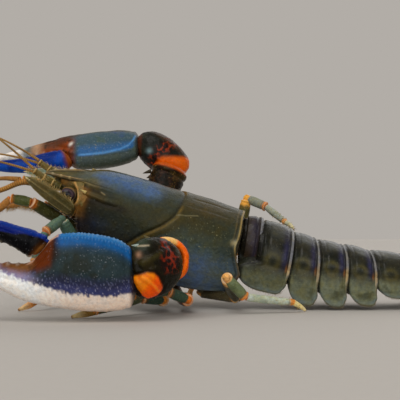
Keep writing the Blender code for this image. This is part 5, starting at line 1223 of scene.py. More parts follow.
def ring_section(spec, t, shrink=0.0):
    """Outline of one tail ring at t along it: points, height share (1 at the back, -1 at the side plate's tip) and side."""
    name, front, rear, tilt, roll, wide, arch, drop, slide = spec
    x = front[0] + (rear[0] - front[0]) * t
    z = front[1] + (rear[1] - front[1]) * t
    lean = math.radians(tilt[0] + (tilt[1] - tilt[0]) * t)
    r = math.radians(roll)
    w = wide[0] + (wide[1] - wide[0]) * t
    h = arch[0] + (arch[1] - arch[0]) * t + 0.35 * math.sin(PI * min(max(t, 0), 1))
    # the front slips under the plate ahead; the hind rim stands out over the next
    w, h = w * (1 - shrink), h * (1 - shrink)
    place = (t - (0.47 if name in FORWARD else 0.5)) / 0.56
    deep = drop * (0.12 + 0.88 * max(0.0, 1.0 - min(abs(place), 0.99) ** 3.0) ** 0.5)
    reach = [v * max(0.0, 1.0 - max(t, 0.0) / 0.62) ** 1.3 for v in FORWARD.get(name, (0.0, 0.0))]
    upward, left = vec(math.sin(lean), 0.0, math.cos(lean)), vec(0.0, -1.0, 0.0)
    up = upward * math.cos(r) + left * math.sin(r)
    out = left * math.cos(r) - upward * math.sin(r)
    ahead = vec(math.cos(lean), 0.0, -math.sin(lean))
    mid = vec(x, 0.0, z)
    g = np.linspace(1.0, 0.0, 29)[:-1]
    plate = curve(g, (0.0, 0.45, 0.82, 1.0), (1.0, 1.03, 0.99, 0.90))
    q = np.linspace(0, PI, 112)
    a = np.concatenate([w * plate, w * np.cos(q), -w * plate[::-1]])
    d = np.concatenate([-deep * g, h * np.sin(q) ** 0.92, -deep * g[::-1]])
    share = np.concatenate([-g, np.sin(q), -g[::-1]])
    side = np.concatenate([np.full(len(g), 1.0), np.cos(q), np.full(len(g), -1.0)])
    # rolled lower rim and plain inner wall
    inner = [(-0.86, 1.02 * deep), (-0.82, 0.98 * deep), (-0.80, 0.8 * deep), (-0.84, min(0.6 * deep, 2.6)), (-0.55, 2.8), (0.0, 2.9)]
    pts_in = inner + [(-u, v) for u, v in inner[-2::-1]]
    a = np.concatenate([a, [w * u for u, _ in pts_in]])
    d = np.concatenate([d, [-v for _, v in pts_in]])
    share = np.concatenate([share, np.full(len(pts_in), -2.0)])
    side = np.concatenate([side, np.full(len(pts_in), 0.0)])
    below = np.maximum(0.0, -d) / max(drop, 3.0)
    back = (slide[0] + (slide[1] - slide[0]) * t) * np.maximum(0.0, (below - 0.45) / 0.55) ** 1.2
    outer = smooth((0.2 - d) / 2.2, 0.0, 1.0) * (np.abs(a) > 0.6 * w) * ((share > -1.5) | (d < -2.4))
    back = back - np.where(a > 0, reach[0], reach[1]) * outer
    return mid + a[:, None] * out + d[:, None] * up + back[:, None] * ahead, share, side, a, d


def abdomen():
    for k, spec in enumerate(RINGS):
        name = spec[0]
        length = spec[2][0] - spec[1][0]
        first = -0.9 / length
        t = np.unique(np.concatenate([np.linspace(0, 1, 96), np.linspace(0.9, 1.0, 30), [first, first * 0.6, first * 0.25]]))
        last = 1.0 + (0.32 / length if k < 5 else 0.05)
        t = np.append(t, last)
        sections = [ring_section(spec, float(v), 0.045 * float(smooth(v, 0.10, 0.0)) + 0.035 * float(smooth(v, 0.0, first))) for v in t]
        p = np.stack([s[0] for s in sections])
        share = np.stack([s[1] for s in sections])
        side = np.stack([s[2] for s in sections])
        tt = np.broadcast_to(t[:, None], share.shape)
        n = normals(p, True)
        end = (1 - tt) * length
        start = tt * length
        back = share > -0.02
        plate = smooth(-share, 0.0, 0.25) * (share > -1.5)
        h = 0.08 * clouds(p, 4.0, 131 + k, 3) + 0.02 * noise(p, 0.8, 132)
        d1, k1 = cells(p, 0.9, 133)
        h -= 0.05 * smooth(d1, 0.3, 0.08) * (k1 > 0.4)
        if k > 0:
            h += 0.20 * hill(end, 0.30, 0.28) - 0.16 * hill(end, 0.95, 0.28)
            h -= 0.10 * hill(start, 1.9, 0.35) * smooth(share, -0.3, 0.1)
            h += 0.04 * smooth(start, 1.9, 2.6) * smooth(end, 0.6, 1.6) * smooth(share, -0.2, 0.3)
        else:
            h += 0.22 * hill(end, 0.3, 0.3) - 0.25 * hill(end, 1.1, 0.35)
        # side plates: a soft swelling above, a thin raised rim below, a dent where they join the back
        h += 0.35 * hill(share, -0.38, 0.22) * hill(tt, 0.6, 0.26) * plate - 0.22 * hill(share, -0.03, 0.08) * smooth(start, 1.0, 2.4) * (share > -1.5)
        h += 0.14 * hill(share, -0.96, 0.05) * plate
        h = np.where(share < -1.5, 0.0, h)
        p = p + n * h[..., None]
        # colour
        patch = clouds(p, 3.4, 140 + k, 4)
        glossy = mix(np.broadcast_to(rgb(36, 36, 28), p.shape), rgb(20, 22, 16), smooth(patch, -0.1, 0.6))
        # painted sheen: a lighter grey band over the crown of the glossy black back, the light reflected on it
        glossy = mix(glossy, rgb(64, 66, 60), 0.7 * hill(share, 0.86, 0.16) * smooth(start, 1.5, 2.5) * smooth(end, 1.2, 2.6))
        green = mix(np.broadcast_to(rgb(106, 112, 92), p.shape) * (1.12 if k > 2 else 1.0), rgb(80, 84, 64), smooth(patch, -0.2, 0.5))
        green = mix(green, rgb(132, 148, 140), 0.6 * smooth(-share, 0.65, 0.95))
        low = {0: -9.0, 1: -0.18, 2: -0.12, 3: -0.1, 4: -0.12, 5: -0.05}[k]
        c = mix(glossy, green, smooth(low - share + 0.12 * patch, -0.22, 0.42) * (share > -1.5))
        c = mix(c, rgb(44, 52, 48), 0.6 * hill(share, 0.15, 0.25) * hill(tt, 0.35, 0.3))
        # round olive smudge at the base of each side plate
        smudge = np.hypot((tt - 0.42) * length, (share - (0.12 if k else 0.3)) * 9.5 * np.where(share > 0, 1.0, 0.8))
        if k:
            c = mix(c, rgb(80, 76, 44), 0.6 * hill(smudge, 1.6, 0.8))
            c = mix(c, rgb(30, 30, 20), 0.5 * hill(smudge, 0.2, 0.8))
        if k == 0:
            c = mix(np.broadcast_to(rgb(44, 36, 28), p.shape), rgb(58, 52, 62), 0.7 * hill(end, 2.4, 0.8) * smooth(share, 0.1, 0.5))
            c = mix(c, rgb(38, 34, 22), smooth(patch, 0.0, 0.7) * 0.6)
            c = mix(c, rgb(160, 170, 172), 0.8 * hill(smudge, 3.4, 0.5) * (share < 0.25))
        # violet band, pale hind line that turns tan and orange low down
        if k < 5:
            level = smooth(share, -0.25, 0.25)
            c = mix(c, rgb(46, 46, 78), (0.85 if k else 0.35) * hill(end, 1.55 if k else 1.3, 0.75) * level * smooth(share, 1.05, 0.55))
            c = mix(c, rgb(34, 32, 52), 0.6 * hill(end, 1.5, 0.9) * smooth(share, 0.5, 0.9))
            line = mix(np.broadcast_to(rgb(128, 130, 138), p.shape), rgb(172, 154, 122), smooth(share, 0.38, 0.0) * smooth(share, -0.5, -0.3))
            line = mix(line, rgb(128, 124, 100), smooth(share, -0.35, -0.55))
            c = mix(c, line, 0.85 * smooth(end, 0.46, 0.22))
            c = mix(c, rgb(150, 96, 44), 0.5 * hill(end, 0.75, 0.3) * hill(share, -0.02, 0.12))
        c = mix(c, rgb(98, 84, 54), 0.75 * hill(share, -0.985, 0.035) * (share > -1.5))
        c = mix(c, rgb(124, 138, 142), 0.5 * hill(share, -0.90, 0.05) * (share > -1.5))
        c = mix(c, rgb(20, 20, 18), 0.85 * smooth(start, 0.5, 0.1))
        c = mix(c, rgb(104, 98, 82), 1.0 * (share < -1.5))
        b = Build()
        b.grid(p, c, fleck=np.where(share < -1.5, 0, 0.25 + 0.3 * smooth(-share, 0, 0.3)), gloss=np.where(share > 0.1, 0.85, 0.45), wrap=True, cap=(True, True))
        b.done(name, TAIL, (name,), "shell")


# ================================================================ tail fan
def blade(b, base, tip, wide, thick, up, tone, edge, keel=(0.0,), seam=None, cols=110, rows=120, seed=0):
    base, tip = vec(*base), vec(*tip)
    k = len(wide)
    at = np.linspace(0, 1, k)
    pts = [base + (tip - base) * v for v in at]
    p, x, q = sweep(pts, wide, thick, up, rows, cols, round0=0.03, round1=0.09)
    n = normals(p, True)
    across = np.cos(q)
    h = 0.05 * clouds(p, 2.4, 150 + seed, 3)
    for place in keel:
        h += 0.22 * hill(across, place, 0.06) * (np.sin(q) > 0) * smooth(x, 0.02, 0.15) * smooth(x, 0.96, 0.75)
    h += 0.10 * smooth(np.abs(across), 0.9, 0.985)
    if seam:
        line = x - seam + 0.05 * across ** 2
        h += 0.14 * hill(line, -0.012, 0.012) - 0.20 * hill(line, 0.012, 0.012)
        h += 0.16 * hill(line, -0.02, 0.012) * np.clip(np.cos(across * 26), 0, 1)
    h += 0.03 * np.sin(across * 46) * smooth(x, 0.70, 0.95)
    p = p + n * h[..., None]
    c = mix(np.broadcast_to(tone, p.shape), tone * vec(0.55, 0.6, 0.55), smooth(clouds(p, 3.0, 160 + seed, 4), 0.0, 0.7))
    c = mix(c, rgb(70, 66, 104), 0.6 * smooth(x, 0.5, 0.8) * smooth(x, 1.0, 0.9))
    c = mix(c, edge, 0.85 * smooth(x, 0.93, 0.99))
    c = mix(c, edge, 0.6 * smooth(np.abs(across), 0.93, 0.99))
    for place in keel:
        c = mix(c, rgb(112, 108, 72), 0.5 * hill(across, place, 0.05) * (np.sin(q) > 0))
    if seam:
        c = mix(c, rgb(150, 120, 70), 0.6 * hill(x - seam + 0.05 * across ** 2, -0.015, 0.015))
    c = mix(c, rgb(112, 112, 92), 0.5 * smooth(-np.sin(q), 0.2, 0.6))
    b.grid(p, c, fleck=0.35, gloss=0.6, wrap=True, cap=(True, True))
    return p, x, q


FAN_EDGES = []


def fan():
    roll = math.radians(4)
    up = unit(vec(0.35, -math.sin(roll), 1.0))
    b = Build()
    p, x, q = blade(b, (60.0, 0.0, 8.95), (73.6, 0.6, 4.6), (4.3, 4.8, 4.9, 4.6, 4.2, 3.2), (2.2, 1.4, 1.0, 0.8, 0.6, 0.4), up, rgb(58, 62, 46), rgb(140, 130, 96), keel=(-0.35, 0.35), seam=0.62, seed=1)
    FAN_EDGES.append((p, x, q))
    for sign in (-1, 1):
        i = int(np.argmin(np.abs(x[:, 0] - 0.60)))
        j = int(np.argmax(p[i, :, 1] * sign))
        cone(b, p[i, j] - vec(0.3, 0.25 * sign, 0), p[i, j] + vec(0.9, 0.35 * sign, -0.25), 0.32, rgb(170, 150, 100))
    b.done("telson", TAIL, ("telson",), "shell")
    for sign, word in ((-1, "left"), (1, "right")):
        z = 0.3 if sign == 1 else -0.2
        b = Build()
        p, x, q = blade(b, (59.9, 6.6 * sign, 6.5 + z), (73.8, 10.2 * sign, 3.0 + z), (1.2, 2.8, 3.7, 4.0, 3.7, 2.4), (1.0, 0.8, 0.6, 0.5, 0.4, 0.3), up, rgb(60, 66, 50), rgb(146, 134, 98), keel=(0.0,), seed=3 + sign)
        FAN_EDGES.append((p, x, q))
        b.done("tail_fan_%s_inner" % word, TAIL, ("tail_fan_%s_inner" % word,), "shell")
        b = Build()
        p, x, q = blade(b, (59.6, 8.6 * sign, 4.4 + z), (72.0, 18.6 * sign, 1.6 + z), (1.3, 3.0, 4.2, 4.6, 4.2, 2.6), (1.0, 0.8, 0.6, 0.5, 0.4, 0.3), up, rgb(62, 70, 54), rgb(150, 136, 98), keel=(0.1, -0.3), seam=0.7, seed=7 + sign)
        FAN_EDGES.append((p, x, q))
        # the stalk that carries both side blades
        p, x, q = sweep([(57.6, 6.6 * sign, 5.6), (59.2, 7.4 * sign, 5.3 + z * 0.4), (61.0, 8.6 * sign, 4.9 + z)], (1.9, 2.3, 1.9), (1.3, 1.4, 1.0), up, 36, 40, round0=0.12, round1=0.15)
        p = p + normals(p, True) * (0.08 * clouds(p, 1.6, 171, 3))[..., None]
        b.grid(p, mix(np.broadcast_to(rgb(54, 52, 38), p.shape), rgb(150, 104, 56), smooth(x, 0.7, 0.9)), fleck=0.3, wrap=True, cap=(True, True))
        b.done("tail_fan_%s_outer" % word, TAIL, ("tail_fan_%s_outer" % word,), "shell")


# ================================================================ feelers
ANTENNA = {
    "left": [(-46.4, -9.4, 35.9), (-49.3, -10.6, 35.5), (-53.8, -12.6, 33.5), (-62.0, -17.0, 30.4), (-73.0, -24.0, 28.4), (-86.0, -33.5, 28.0), (-99.0, -44.0, 29.2)],
    "right": [(-52.2, 1.2, 37.0), (-55.0, 3.2, 37.4), (-58.5, 7.4, 37.8), (-63.5, 14.0, 38.0), (-71.0, 24.0, 38.0), (-82.0, 35.0, 37.6), (-94.0, 45.0, 37.0)],
}


def ringed(b, points, thick, thin, step, tone, joint, rows, cols=14, ease=0.8, under=None):
    """A many-jointed whip: tapering, with a shallow neck at each joint."""
    pts = [np.asarray(v, float) for v in points]
    k = len(pts) - 1
    radii = [thick + (thin - thick) * (i / k) ** ease for i in range(k + 1)]
    p, x, q = sweep(pts, radii, radii, (0.0, 0.2, 1.0), rows, cols, round0=0.01, round1=0.006)
    length = sum(float(np.linalg.norm(v - w)) for v, w in zip(pts, pts[1:]))
    wave = 0.5 + 0.5 * np.cos(2 * PI * x * length / step)
    n = normals(p, True)
    r = thick + (thin - thick) * x ** ease
    p = p + n * (0.13 * r * (wave - 0.6))[..., None]
    c = mix(np.broadcast_to(tone, p.shape), joint, 0.8 * smooth(wave, 0.35, 0.0))
    c = mix(c, tone * vec(0.5, 0.45, 0.4), 0.6 * smooth(noise(p, 3.0, 181), 0.1, 0.7))
    if under is not None:
        c = mix(c, under, smooth(-np.sin(q), 0.2, 0.8) * 0.7)
    b.grid(p, c, fleck=0.2, gloss=0.4, wrap=True, cap=(True, True))


def stem(b, pts, sizes, tone, band, seed, up=None, spine=None):
    """A chain of thick joints, each flared at its far end."""
    pts = [np.asarray(v, float) for v in pts]
    for k in range(len(pts) - 1):
        a, c = pts[k], pts[k + 1]
        r0, r1, r2 = sizes[k]
        d = unit(c - a)
        podomere(b, [a - d * (0.15 if k else 0.0), (a + c) / 2, c + d * 0.1], (r0 * 0.86, r1, r2 * 1.02), (r0 * 0.86, r1, r2 * 1.02), UP if up is None else up, tone[k] if isinstance(tone, list) else tone,
                 band * 0.85, band, seed=seed + k, ring=0.5, rows=50, cols=36, gloss=0.45, pale=0.15)
        if spine and k in spine:
            cone(b, c - d * 0.9 + UP * r2 * 0.8, c + d * 0.5 + UP * r2 * 1.5, 0.35, rgb(170, 150, 90))


def feelers():
    left_tip, right_tip = bpoint(-4.6, 2.9, 8.4), bpoint(-4.9, -2.7, 8.2)
    tan, orange = rgb(150, 128, 70), rgb(190, 122, 52)
    for word, sign, tip in (("left", 1, left_tip), ("right", -1, right_tip)):
        mid = bpoint(-0.6, 2.6 * sign, 6.4)
        b = Build()
        stem(b, [bpoint(3.4, 2.2 * sign, 5.0), bpoint(0.8, 2.4 * sign, 5.8), mid + (tip - mid) * 0.3, tip], [(1.35, 1.35, 1.25), (1.2, 1.15, 1.05), (1.05, 0.95, 0.85)],
             [rgb(84, 78, 40), rgb(96, 88, 46), rgb(112, 98, 52)], rgb(160, 132, 70), 200 + sign, spine=(0,))
        b.done("antennule_%s_stem" % word, FEELER, ("antennule_%s_stem" % word,), "olive")
        out = unit(tip - mid)
        ends = ((-64.0, -9.5, 53.5), (-66.5, -11.0, 43.0)) if sign == 1 else ((-63.0, -1.5, 51.0), (-65.0, -0.5, 45.0))
        for branch, end, shift in (("outer", ends[0], 0.42), ("inner", ends[1], -0.42)):
            a, e = tip + out * 0.1 + UP * shift * 1.05, vec(*end)
            b = Build()
            ringed(b, [a, a + (e - a) * 0.25 + vec(0, 0, 0.5), a + (e - a) * 0.6 + vec(0, 0, 0.6), e], 0.42, 0.2, 0.5, rgb(158, 124, 70), rgb(96, 76, 40), 260, 12)
            b.done("antennule_%s_%s" % (word, branch), FEELER, ("antennule_%s_%s" % (word, branch),), "orange")
    b = Build()
    stem(b, [bpoint(9.9, 6.3, 1.6), bpoint(6.0, 6.5, 2.5), bpoint(1.5, 6.6, 4.5), (-45.9, -9.2, 35.8)], [(2.0, 2.35, 2.1), (1.95, 1.95, 1.6), (1.45, 1.35, 1.2)],
         [rgb(74, 62, 26), rgb(84, 76, 34), rgb(118, 98, 46)], rgb(196, 138, 62), 210, spine=(0, 1))
    b.done("antenna_left_base", FEELER, ("antenna_left_base",), "olive")
    b = Build()
    stem(b, [bpoint(9.9, -6.3, 1.6), bpoint(6.0, -6.0, 2.0), (-43.5, 2.6, 35.6), (-51.6, 0.8, 36.9)], [(2.0, 2.3, 2.0), (1.9, 1.85, 1.5), (1.45, 1.35, 1.2)],
         [rgb(74, 62, 26), rgb(84, 84, 44), rgb(110, 118, 70)], rgb(206, 132, 54), 214, spine=(0,))
    b.done("antenna_right_base", FEELER, ("antenna_right_base",), "olive")
    for word in ("left", "right"):
        b = Build()
        ringed(b, ANTENNA[word], 1.05 if word == "left" else 0.85, 0.26, 0.62, rgb(176, 126, 58), rgb(96, 66, 30), 620, 16, under=rgb(112, 84, 44))
        b.done("antenna_%s_whip" % word, FEELER, ("antenna_%s_whip" % word,), "orange")


SCALE_EDGES = []


def antennal_scales():
    for word, base, tip, wide, normal in (("left", bpoint(9.2, 9.2, 3.2), vec(-47.4, -12.6, 36.4), (1.7, 2.2, 2.1, 1.6, 0.6), LEFT),
                                          ("right", bpoint(9.2, -10.0, 2.6), vec(-51.4, 4.8, 39.6), (0.8, 1.6, 2.0, 1.6, 0.35), vec(0.1, -1.0, 0.35))):
        b = Build()
        pts = [base + (tip - base) * v for v in np.linspace(0, 1, 5)]
        p, x, q = sweep(pts, wide, (0.55, 0.5, 0.45, 0.4, 0.25), normal, 130, 90, round0=0.04, round1=0.03)
        n = normals(p, True)
        across = np.cos(q)
        face = np.sin(q) > 0
        h = 0.22 * hill(across, 0.1, 0.07) * face + 0.16 * smooth(np.abs(across), 0.82, 0.97) - 0.1 * hill(across, 0.45, 0.16) * face + 0.03 * clouds(p, 1.2, 221, 3)
        p = p + n * h[..., None]
        if word == "left":
            c = mix(np.broadcast_to(rgb(80, 74, 40), p.shape), rgb(100, 90, 54), smooth(x, 0.35, 0.9))
            c = mix(c, rgb(178, 162, 112), 0.3 * hill(across, 0.1, 0.08) + 0.5 * smooth(-across, 0.84, 0.96) + 0.2 * smooth(across, 0.84, 0.96))
            c = mix(c, rgb(48, 42, 22), 0.25 * hill(across, -0.28, 0.14) + 0.2 * hill(across, 0.5, 0.14))
            c = mix(c, rgb(124, 112, 70), 0.5 * smooth(clouds(p, 1.4, 222, 3), 0.1, 0.8))
        else:
            c = mix(np.broadcast_to(rgb(118, 136, 122), p.shape), rgb(86, 98, 74), smooth(x, 0.6, 0.1))
            c = mix(c, rgb(206, 214, 196), 0.7 * smooth(np.abs(across), 0.84, 0.96) + 0.5 * hill(across, 0.1, 0.08))
        b.grid(p, c, fleck=0.3, gloss=0.45, wrap=True, cap=(True, True))
        d = unit(tip - base)
        cone(b, tip - d * 0.9, tip + d * 0.9, 0.4, rgb(206, 190, 140))
        b.done("antenna_%s_scale" % word, FEELER, ("antenna_%s_scale" % word,), "olive" if word == "left" else "pale_scale")
        SCALE_EDGES.append((p, x, q, word))


# ================================================================ mouthparts and underside
MAXILLIPED = {
    "left": [bpoint(19.5, 3.0, -9.9), bpoint(12.0, 3.3, -7.4), vec(-40.0, -3.4, 25.6), vec(-46.9, -9.0, 30.0), vec(-52.6, -9.2, 31.1), vec(-57.8, -8.0, 26.6)],
    "right": [bpoint(19.5, -3.0, -9.9), bpoint(12.0, -3.3, -7.4), vec(-38.6, 2.6, 26.6), vec(-45.6, 0.4, 29.4), vec(-51.2, 0.6, 30.4), vec(-56.4, 1.2, 29.2)],
}


def mouthparts():
    sizes = [(1.3, 1.6, 1.7), (1.7, 1.8, 1.9), (1.9, 1.75, 1.45), (1.35, 1.4, 1.25), (1.1, 1.0, 0.5)]
    tones = [rgb(70, 62, 40), rgb(68, 64, 34), rgb(66, 66, 34), rgb(80, 88, 48), rgb(176, 120, 60)]
    bands = [rgb(120, 84, 40), rgb(150, 96, 40), rgb(186, 104, 34), rgb(204, 118, 40), rgb(150, 96, 50)]
    for word, pts in MAXILLIPED.items():
        b = Build()
        for k in range(5):
            a, c = pts[k], pts[k + 1]
            r0, r1, r2 = sizes[k]
            d = unit(c - a)
            podomere(b, [a - d * (0.1 if k else 0.0), (a + c) / 2, c + d * 0.05], (r0 * 0.85, r1, r2), (r0 * 0.9, r1 * 1.05, r2 * 1.05), UP, tones[k], bands[k - 1] if k else tones[0], bands[k],
                     seed=230 + k, ring=1.1 if k == 2 else 0.8, rows=70, cols=44)
        b.done("maxilliped_" + word, LEG, ("maxilliped_" + word,), "olive")
    # mouth frame, with the epistome in front and jaws behind
    b = Build()
    mids, halfs, talls = [], [], []
    for s, half, top, low in ((8.8, 2.2, -0.6, -2.2), (9.4, 4.0, 0.0, -2.9), (12.0, 3.8, -3.8, -5.1), (16.0, 3.6, -5.0, -6.6), (20.0, 3.2, -6.4, -7.4)):
        mids.append(bpoint(s, 0, (top + low) / 2))
        halfs.append(half)
        talls.append((top - low) / 2)
    p, x, q = sweep(mids, halfs, talls, UP, 90, 72, power=2.6, round0=0.05, round1=0.05)
    n = normals(p, True)
    p = p + n * (0.14 * clouds(p, 1.6, 241, 3) - 0.3 * hill(np.cos(q), 0, 0.08) * (np.sin(q) < 0) - 0.25 * hill(x, 0.35, 0.02) - 0.25 * hill(x, 0.6, 0.02))[..., None]
    c = mix(np.broadcast_to(rgb(84, 74, 44), p.shape), rgb(132, 112, 70), smooth(clouds(p, 1.8, 242, 3), 0, 0.7))
    b.grid(p, c, fleck=0.4, gloss=0.4, wrap=True, cap=(True, True))
    for sign in (1, -1):  # jaws and the flat second mouthparts
        p, x, q = sweep([bpoint(14.0, 3.6 * sign, -6.2), bpoint(12.6, 2.4 * sign, -7.4), bpoint(11.6, 0.7 * sign, -7.6)], (1.5, 1.5, 0.9), (1.0, 1.0, 0.7), UP, 36, 32, round0=0.1, round1=0.1)
        p = p + normals(p, True) * (0.07 * clouds(p, 1.0, 243, 3))[..., None]
        b.grid(p, mix(np.broadcast_to(rgb(124, 100, 60), p.shape), rgb(190, 170, 120), smooth(x, 0.7, 1.0)), wrap=True, cap=(True, True))
        p, x, q = sweep([bpoint(18.0, 2.0 * sign, -9.0), bpoint(14.5, 1.5 * sign, -9.2), bpoint(11.0, 1.3 * sign, -8.6)], (0.9, 1.1, 0.6), (0.5, 0.5, 0.35), UP, 40, 28, round0=0.1, round1=0.1)
        b.grid(p, mix(np.broadcast_to(rgb(96, 86, 50), p.shape), rgb(150, 122, 70), smooth(x, 0.5, 1.0)), fleck=0.3, wrap=True, cap=(True, True))
    b.done("mouth", FLESH, ("mouth",), "olive")
    # breastplate between the legs: a keeled row of plates
    b = Build()
    mids, halfs, talls = [], [], []
    for s, half, low in ((22.5, 1.0, 9.9), (26.0, 1.6, 11.0), (34.0, 2.0, 11.4), (44.0, 2.2, 11.2), (52.0, 2.4, 9.8), (54.2, 1.9, 8.6)):
        top = float(np.interp(s, STATION, ROOF_DEPTH)) - 0.2
        mids.append(bpoint(s, 0, -(top + low) / 2))
        halfs.append(half)
        talls.append((low - top) / 2)
    p, x, q = sweep(mids, halfs, talls, UP, 150, 64, power=2.3, round0=0.03, round1=0.03)
    n = normals(p, True)
    places = (0.12, 0.28, 0.46, 0.64, 0.83)
    h = 0.1 * clouds(p, 1.8, 251, 3) + sum(-0.45 * hill(x, v, 0.018) for v in places) + 0.35 * hill(np.sin(q), -1, 0.12)
    p = p + n * h[..., None]
    c = mix(np.broadcast_to(rgb(142, 134, 104), p.shape), rgb(96, 90, 66), sum(hill(x, v, 0.03) for v in places))
    b.grid(p, c, fleck=0.3, gloss=0.4, wrap=True, cap=(True, True))
    b.done("breastplate", FLESH, ("breastplate",), "olive")
    # swimmerets under the tail: two-bladed, folded back
    b = Build()
    for k, (xx, zz) in enumerate(((22.0, 10.6), (29.6, 9.6), (37.6, 8.6), (45.4, 7.6))):
        for sign in (1, -1):
            root = vec(xx, 4.2 * sign, zz)
            mid = root + vec(0.8, 0.5 * sign, -1.9)
            p, x, q = sweep([root, mid], (0.8, 0.7), (0.7, 0.6), (1, 0, 0), 20, 20, round0=0.1, round1=0.1)
            b.grid(p, np.broadcast_to(rgb(130, 116, 84), p.shape), wrap=True, cap=(True, True))
            for turn, size in ((1.0, 1.0), (-0.6, 0.85)):
                end = mid + vec(3.2, turn * 0.9 * sign, -1.9) * size
                p, x, q = sweep([mid - vec(0.1, 0, -0.1), (mid + end) / 2 + vec(0, 0, -0.4), end], (0.35, 0.75, 0.3), (0.28, 0.24, 0.22), (0.5, 0, 1.0), 36, 24, round0=0.05, round1=0.1)
                b.grid(p, mix(np.broadcast_to(rgb(136, 122, 88), p.shape), rgb(180, 168, 130), smooth(x, 0.4, 1.0)), fleck=0.3, wrap=True, cap=(True, True))
    b.done("swimmerets", FLESH)


# ================================================================ setae: thin tufts of solid mesh
class Coat:
    def __init__(self):
        self.b = Build()
        self.count = 0

    def tuft(self, root, out, length, width, tone, spot, hairs=5, spread=0.25, seed=0):
        """A few tapering bristles from one root; spot is the root's place on the skin's unwrap."""
        out = unit(np.asarray(out, float))
        side = unit(np.cross(out, vec(0.3, 0.5, 0.81)))
        over = np.cross(side, out)
        for k in range(hairs):
            a = 2 * PI * _hash(self.count, k, 1, 301)
            s = spread * (0.3 + 0.7 * _hash(self.count, k, 2, 301))
            l = length * (0.7 + 0.4 * _hash(self.count, k, 3, 301))
            d = unit(out + s * (math.cos(a) * side + math.sin(a) * over))
            foot = root + 0.09 * (math.cos(a) * side + math.sin(a) * over)
            droop = 0.18 * l * (math.cos(a) * side * s * 2 + math.sin(a) * over * s * 2)
            line = [foot - d * 0.12, foot + d * l * 0.5 + droop * 0.3, foot + d * l + droop]
            rings = []
            for pt, r in zip(line, (width, width * 0.7, width * 0.12)):
                rings.append([pt + r * (math.cos(q) * unit(np.cross(d, over + 0.01)) + math.sin(q) * unit(np.cross(d, np.cross(d, over + 0.01)))) for q in (0.0, 2 * PI / 3, 4 * PI / 3)])
            g = np.array(rings)
            c = np.stack([np.broadcast_to(tone * 0.6, (3, 3)), np.broadcast_to(tone, (3, 3)), np.broadcast_to(np.minimum(tone * 1.25, 1), (3, 3))])
            u = (k + 0.5) / hairs * 0.0026
            uv = np.zeros((3, 3, 2))
            for i in range(3):
                for j in range(3):
                    uv[i, j] = (spot[0] + u + 0.0004 * (j / 3 - 0.5), spot[1] + 0.0028 * i / 2)
            self.b.grid(g, c, mottle=0.8, gloss=0.2, wrap=True, cap=(False, True), uv=uv, flip=False)
        self.count += 1

    def done(self, name):
        self.b.done(name, HAIR, coat=True)


def fringe(coat, p, x, q, lo, hi, every, length, tone, centre, seed, where, lean=None, hairs=4, spread=0.3):
    """Bristles along the rim of a blade. where picks the rim's points by across value; centre is the unwrap cell."""
    rows = np.nonzero((x[:, 0] >= lo) & (x[:, 0] <= hi))[0]
    done = None
    for i in rows:
        for j in where:
            pt = p[i, j]
            key = (j,)
            if done is None:
                done = {}
            if key in done and np.linalg.norm(done[key] - pt) < every:
                continue
            done[key] = pt
            out = unit(pt - p[i].mean(axis=0))
            step = unit(p[min(i + 2, len(p) - 1), j] - p[max(i - 2, 0), j])
            d = unit(out + 0.7 * step + (0 if lean is None else lean))
            spot = (centre[0] + 0.05 * (q[i, j] / (2 * PI)), centre[1] + 0.09 * x[i, j])
            coat.tuft(pt, d, length, 0.055, tone, spot, hairs=hairs, spread=spread)


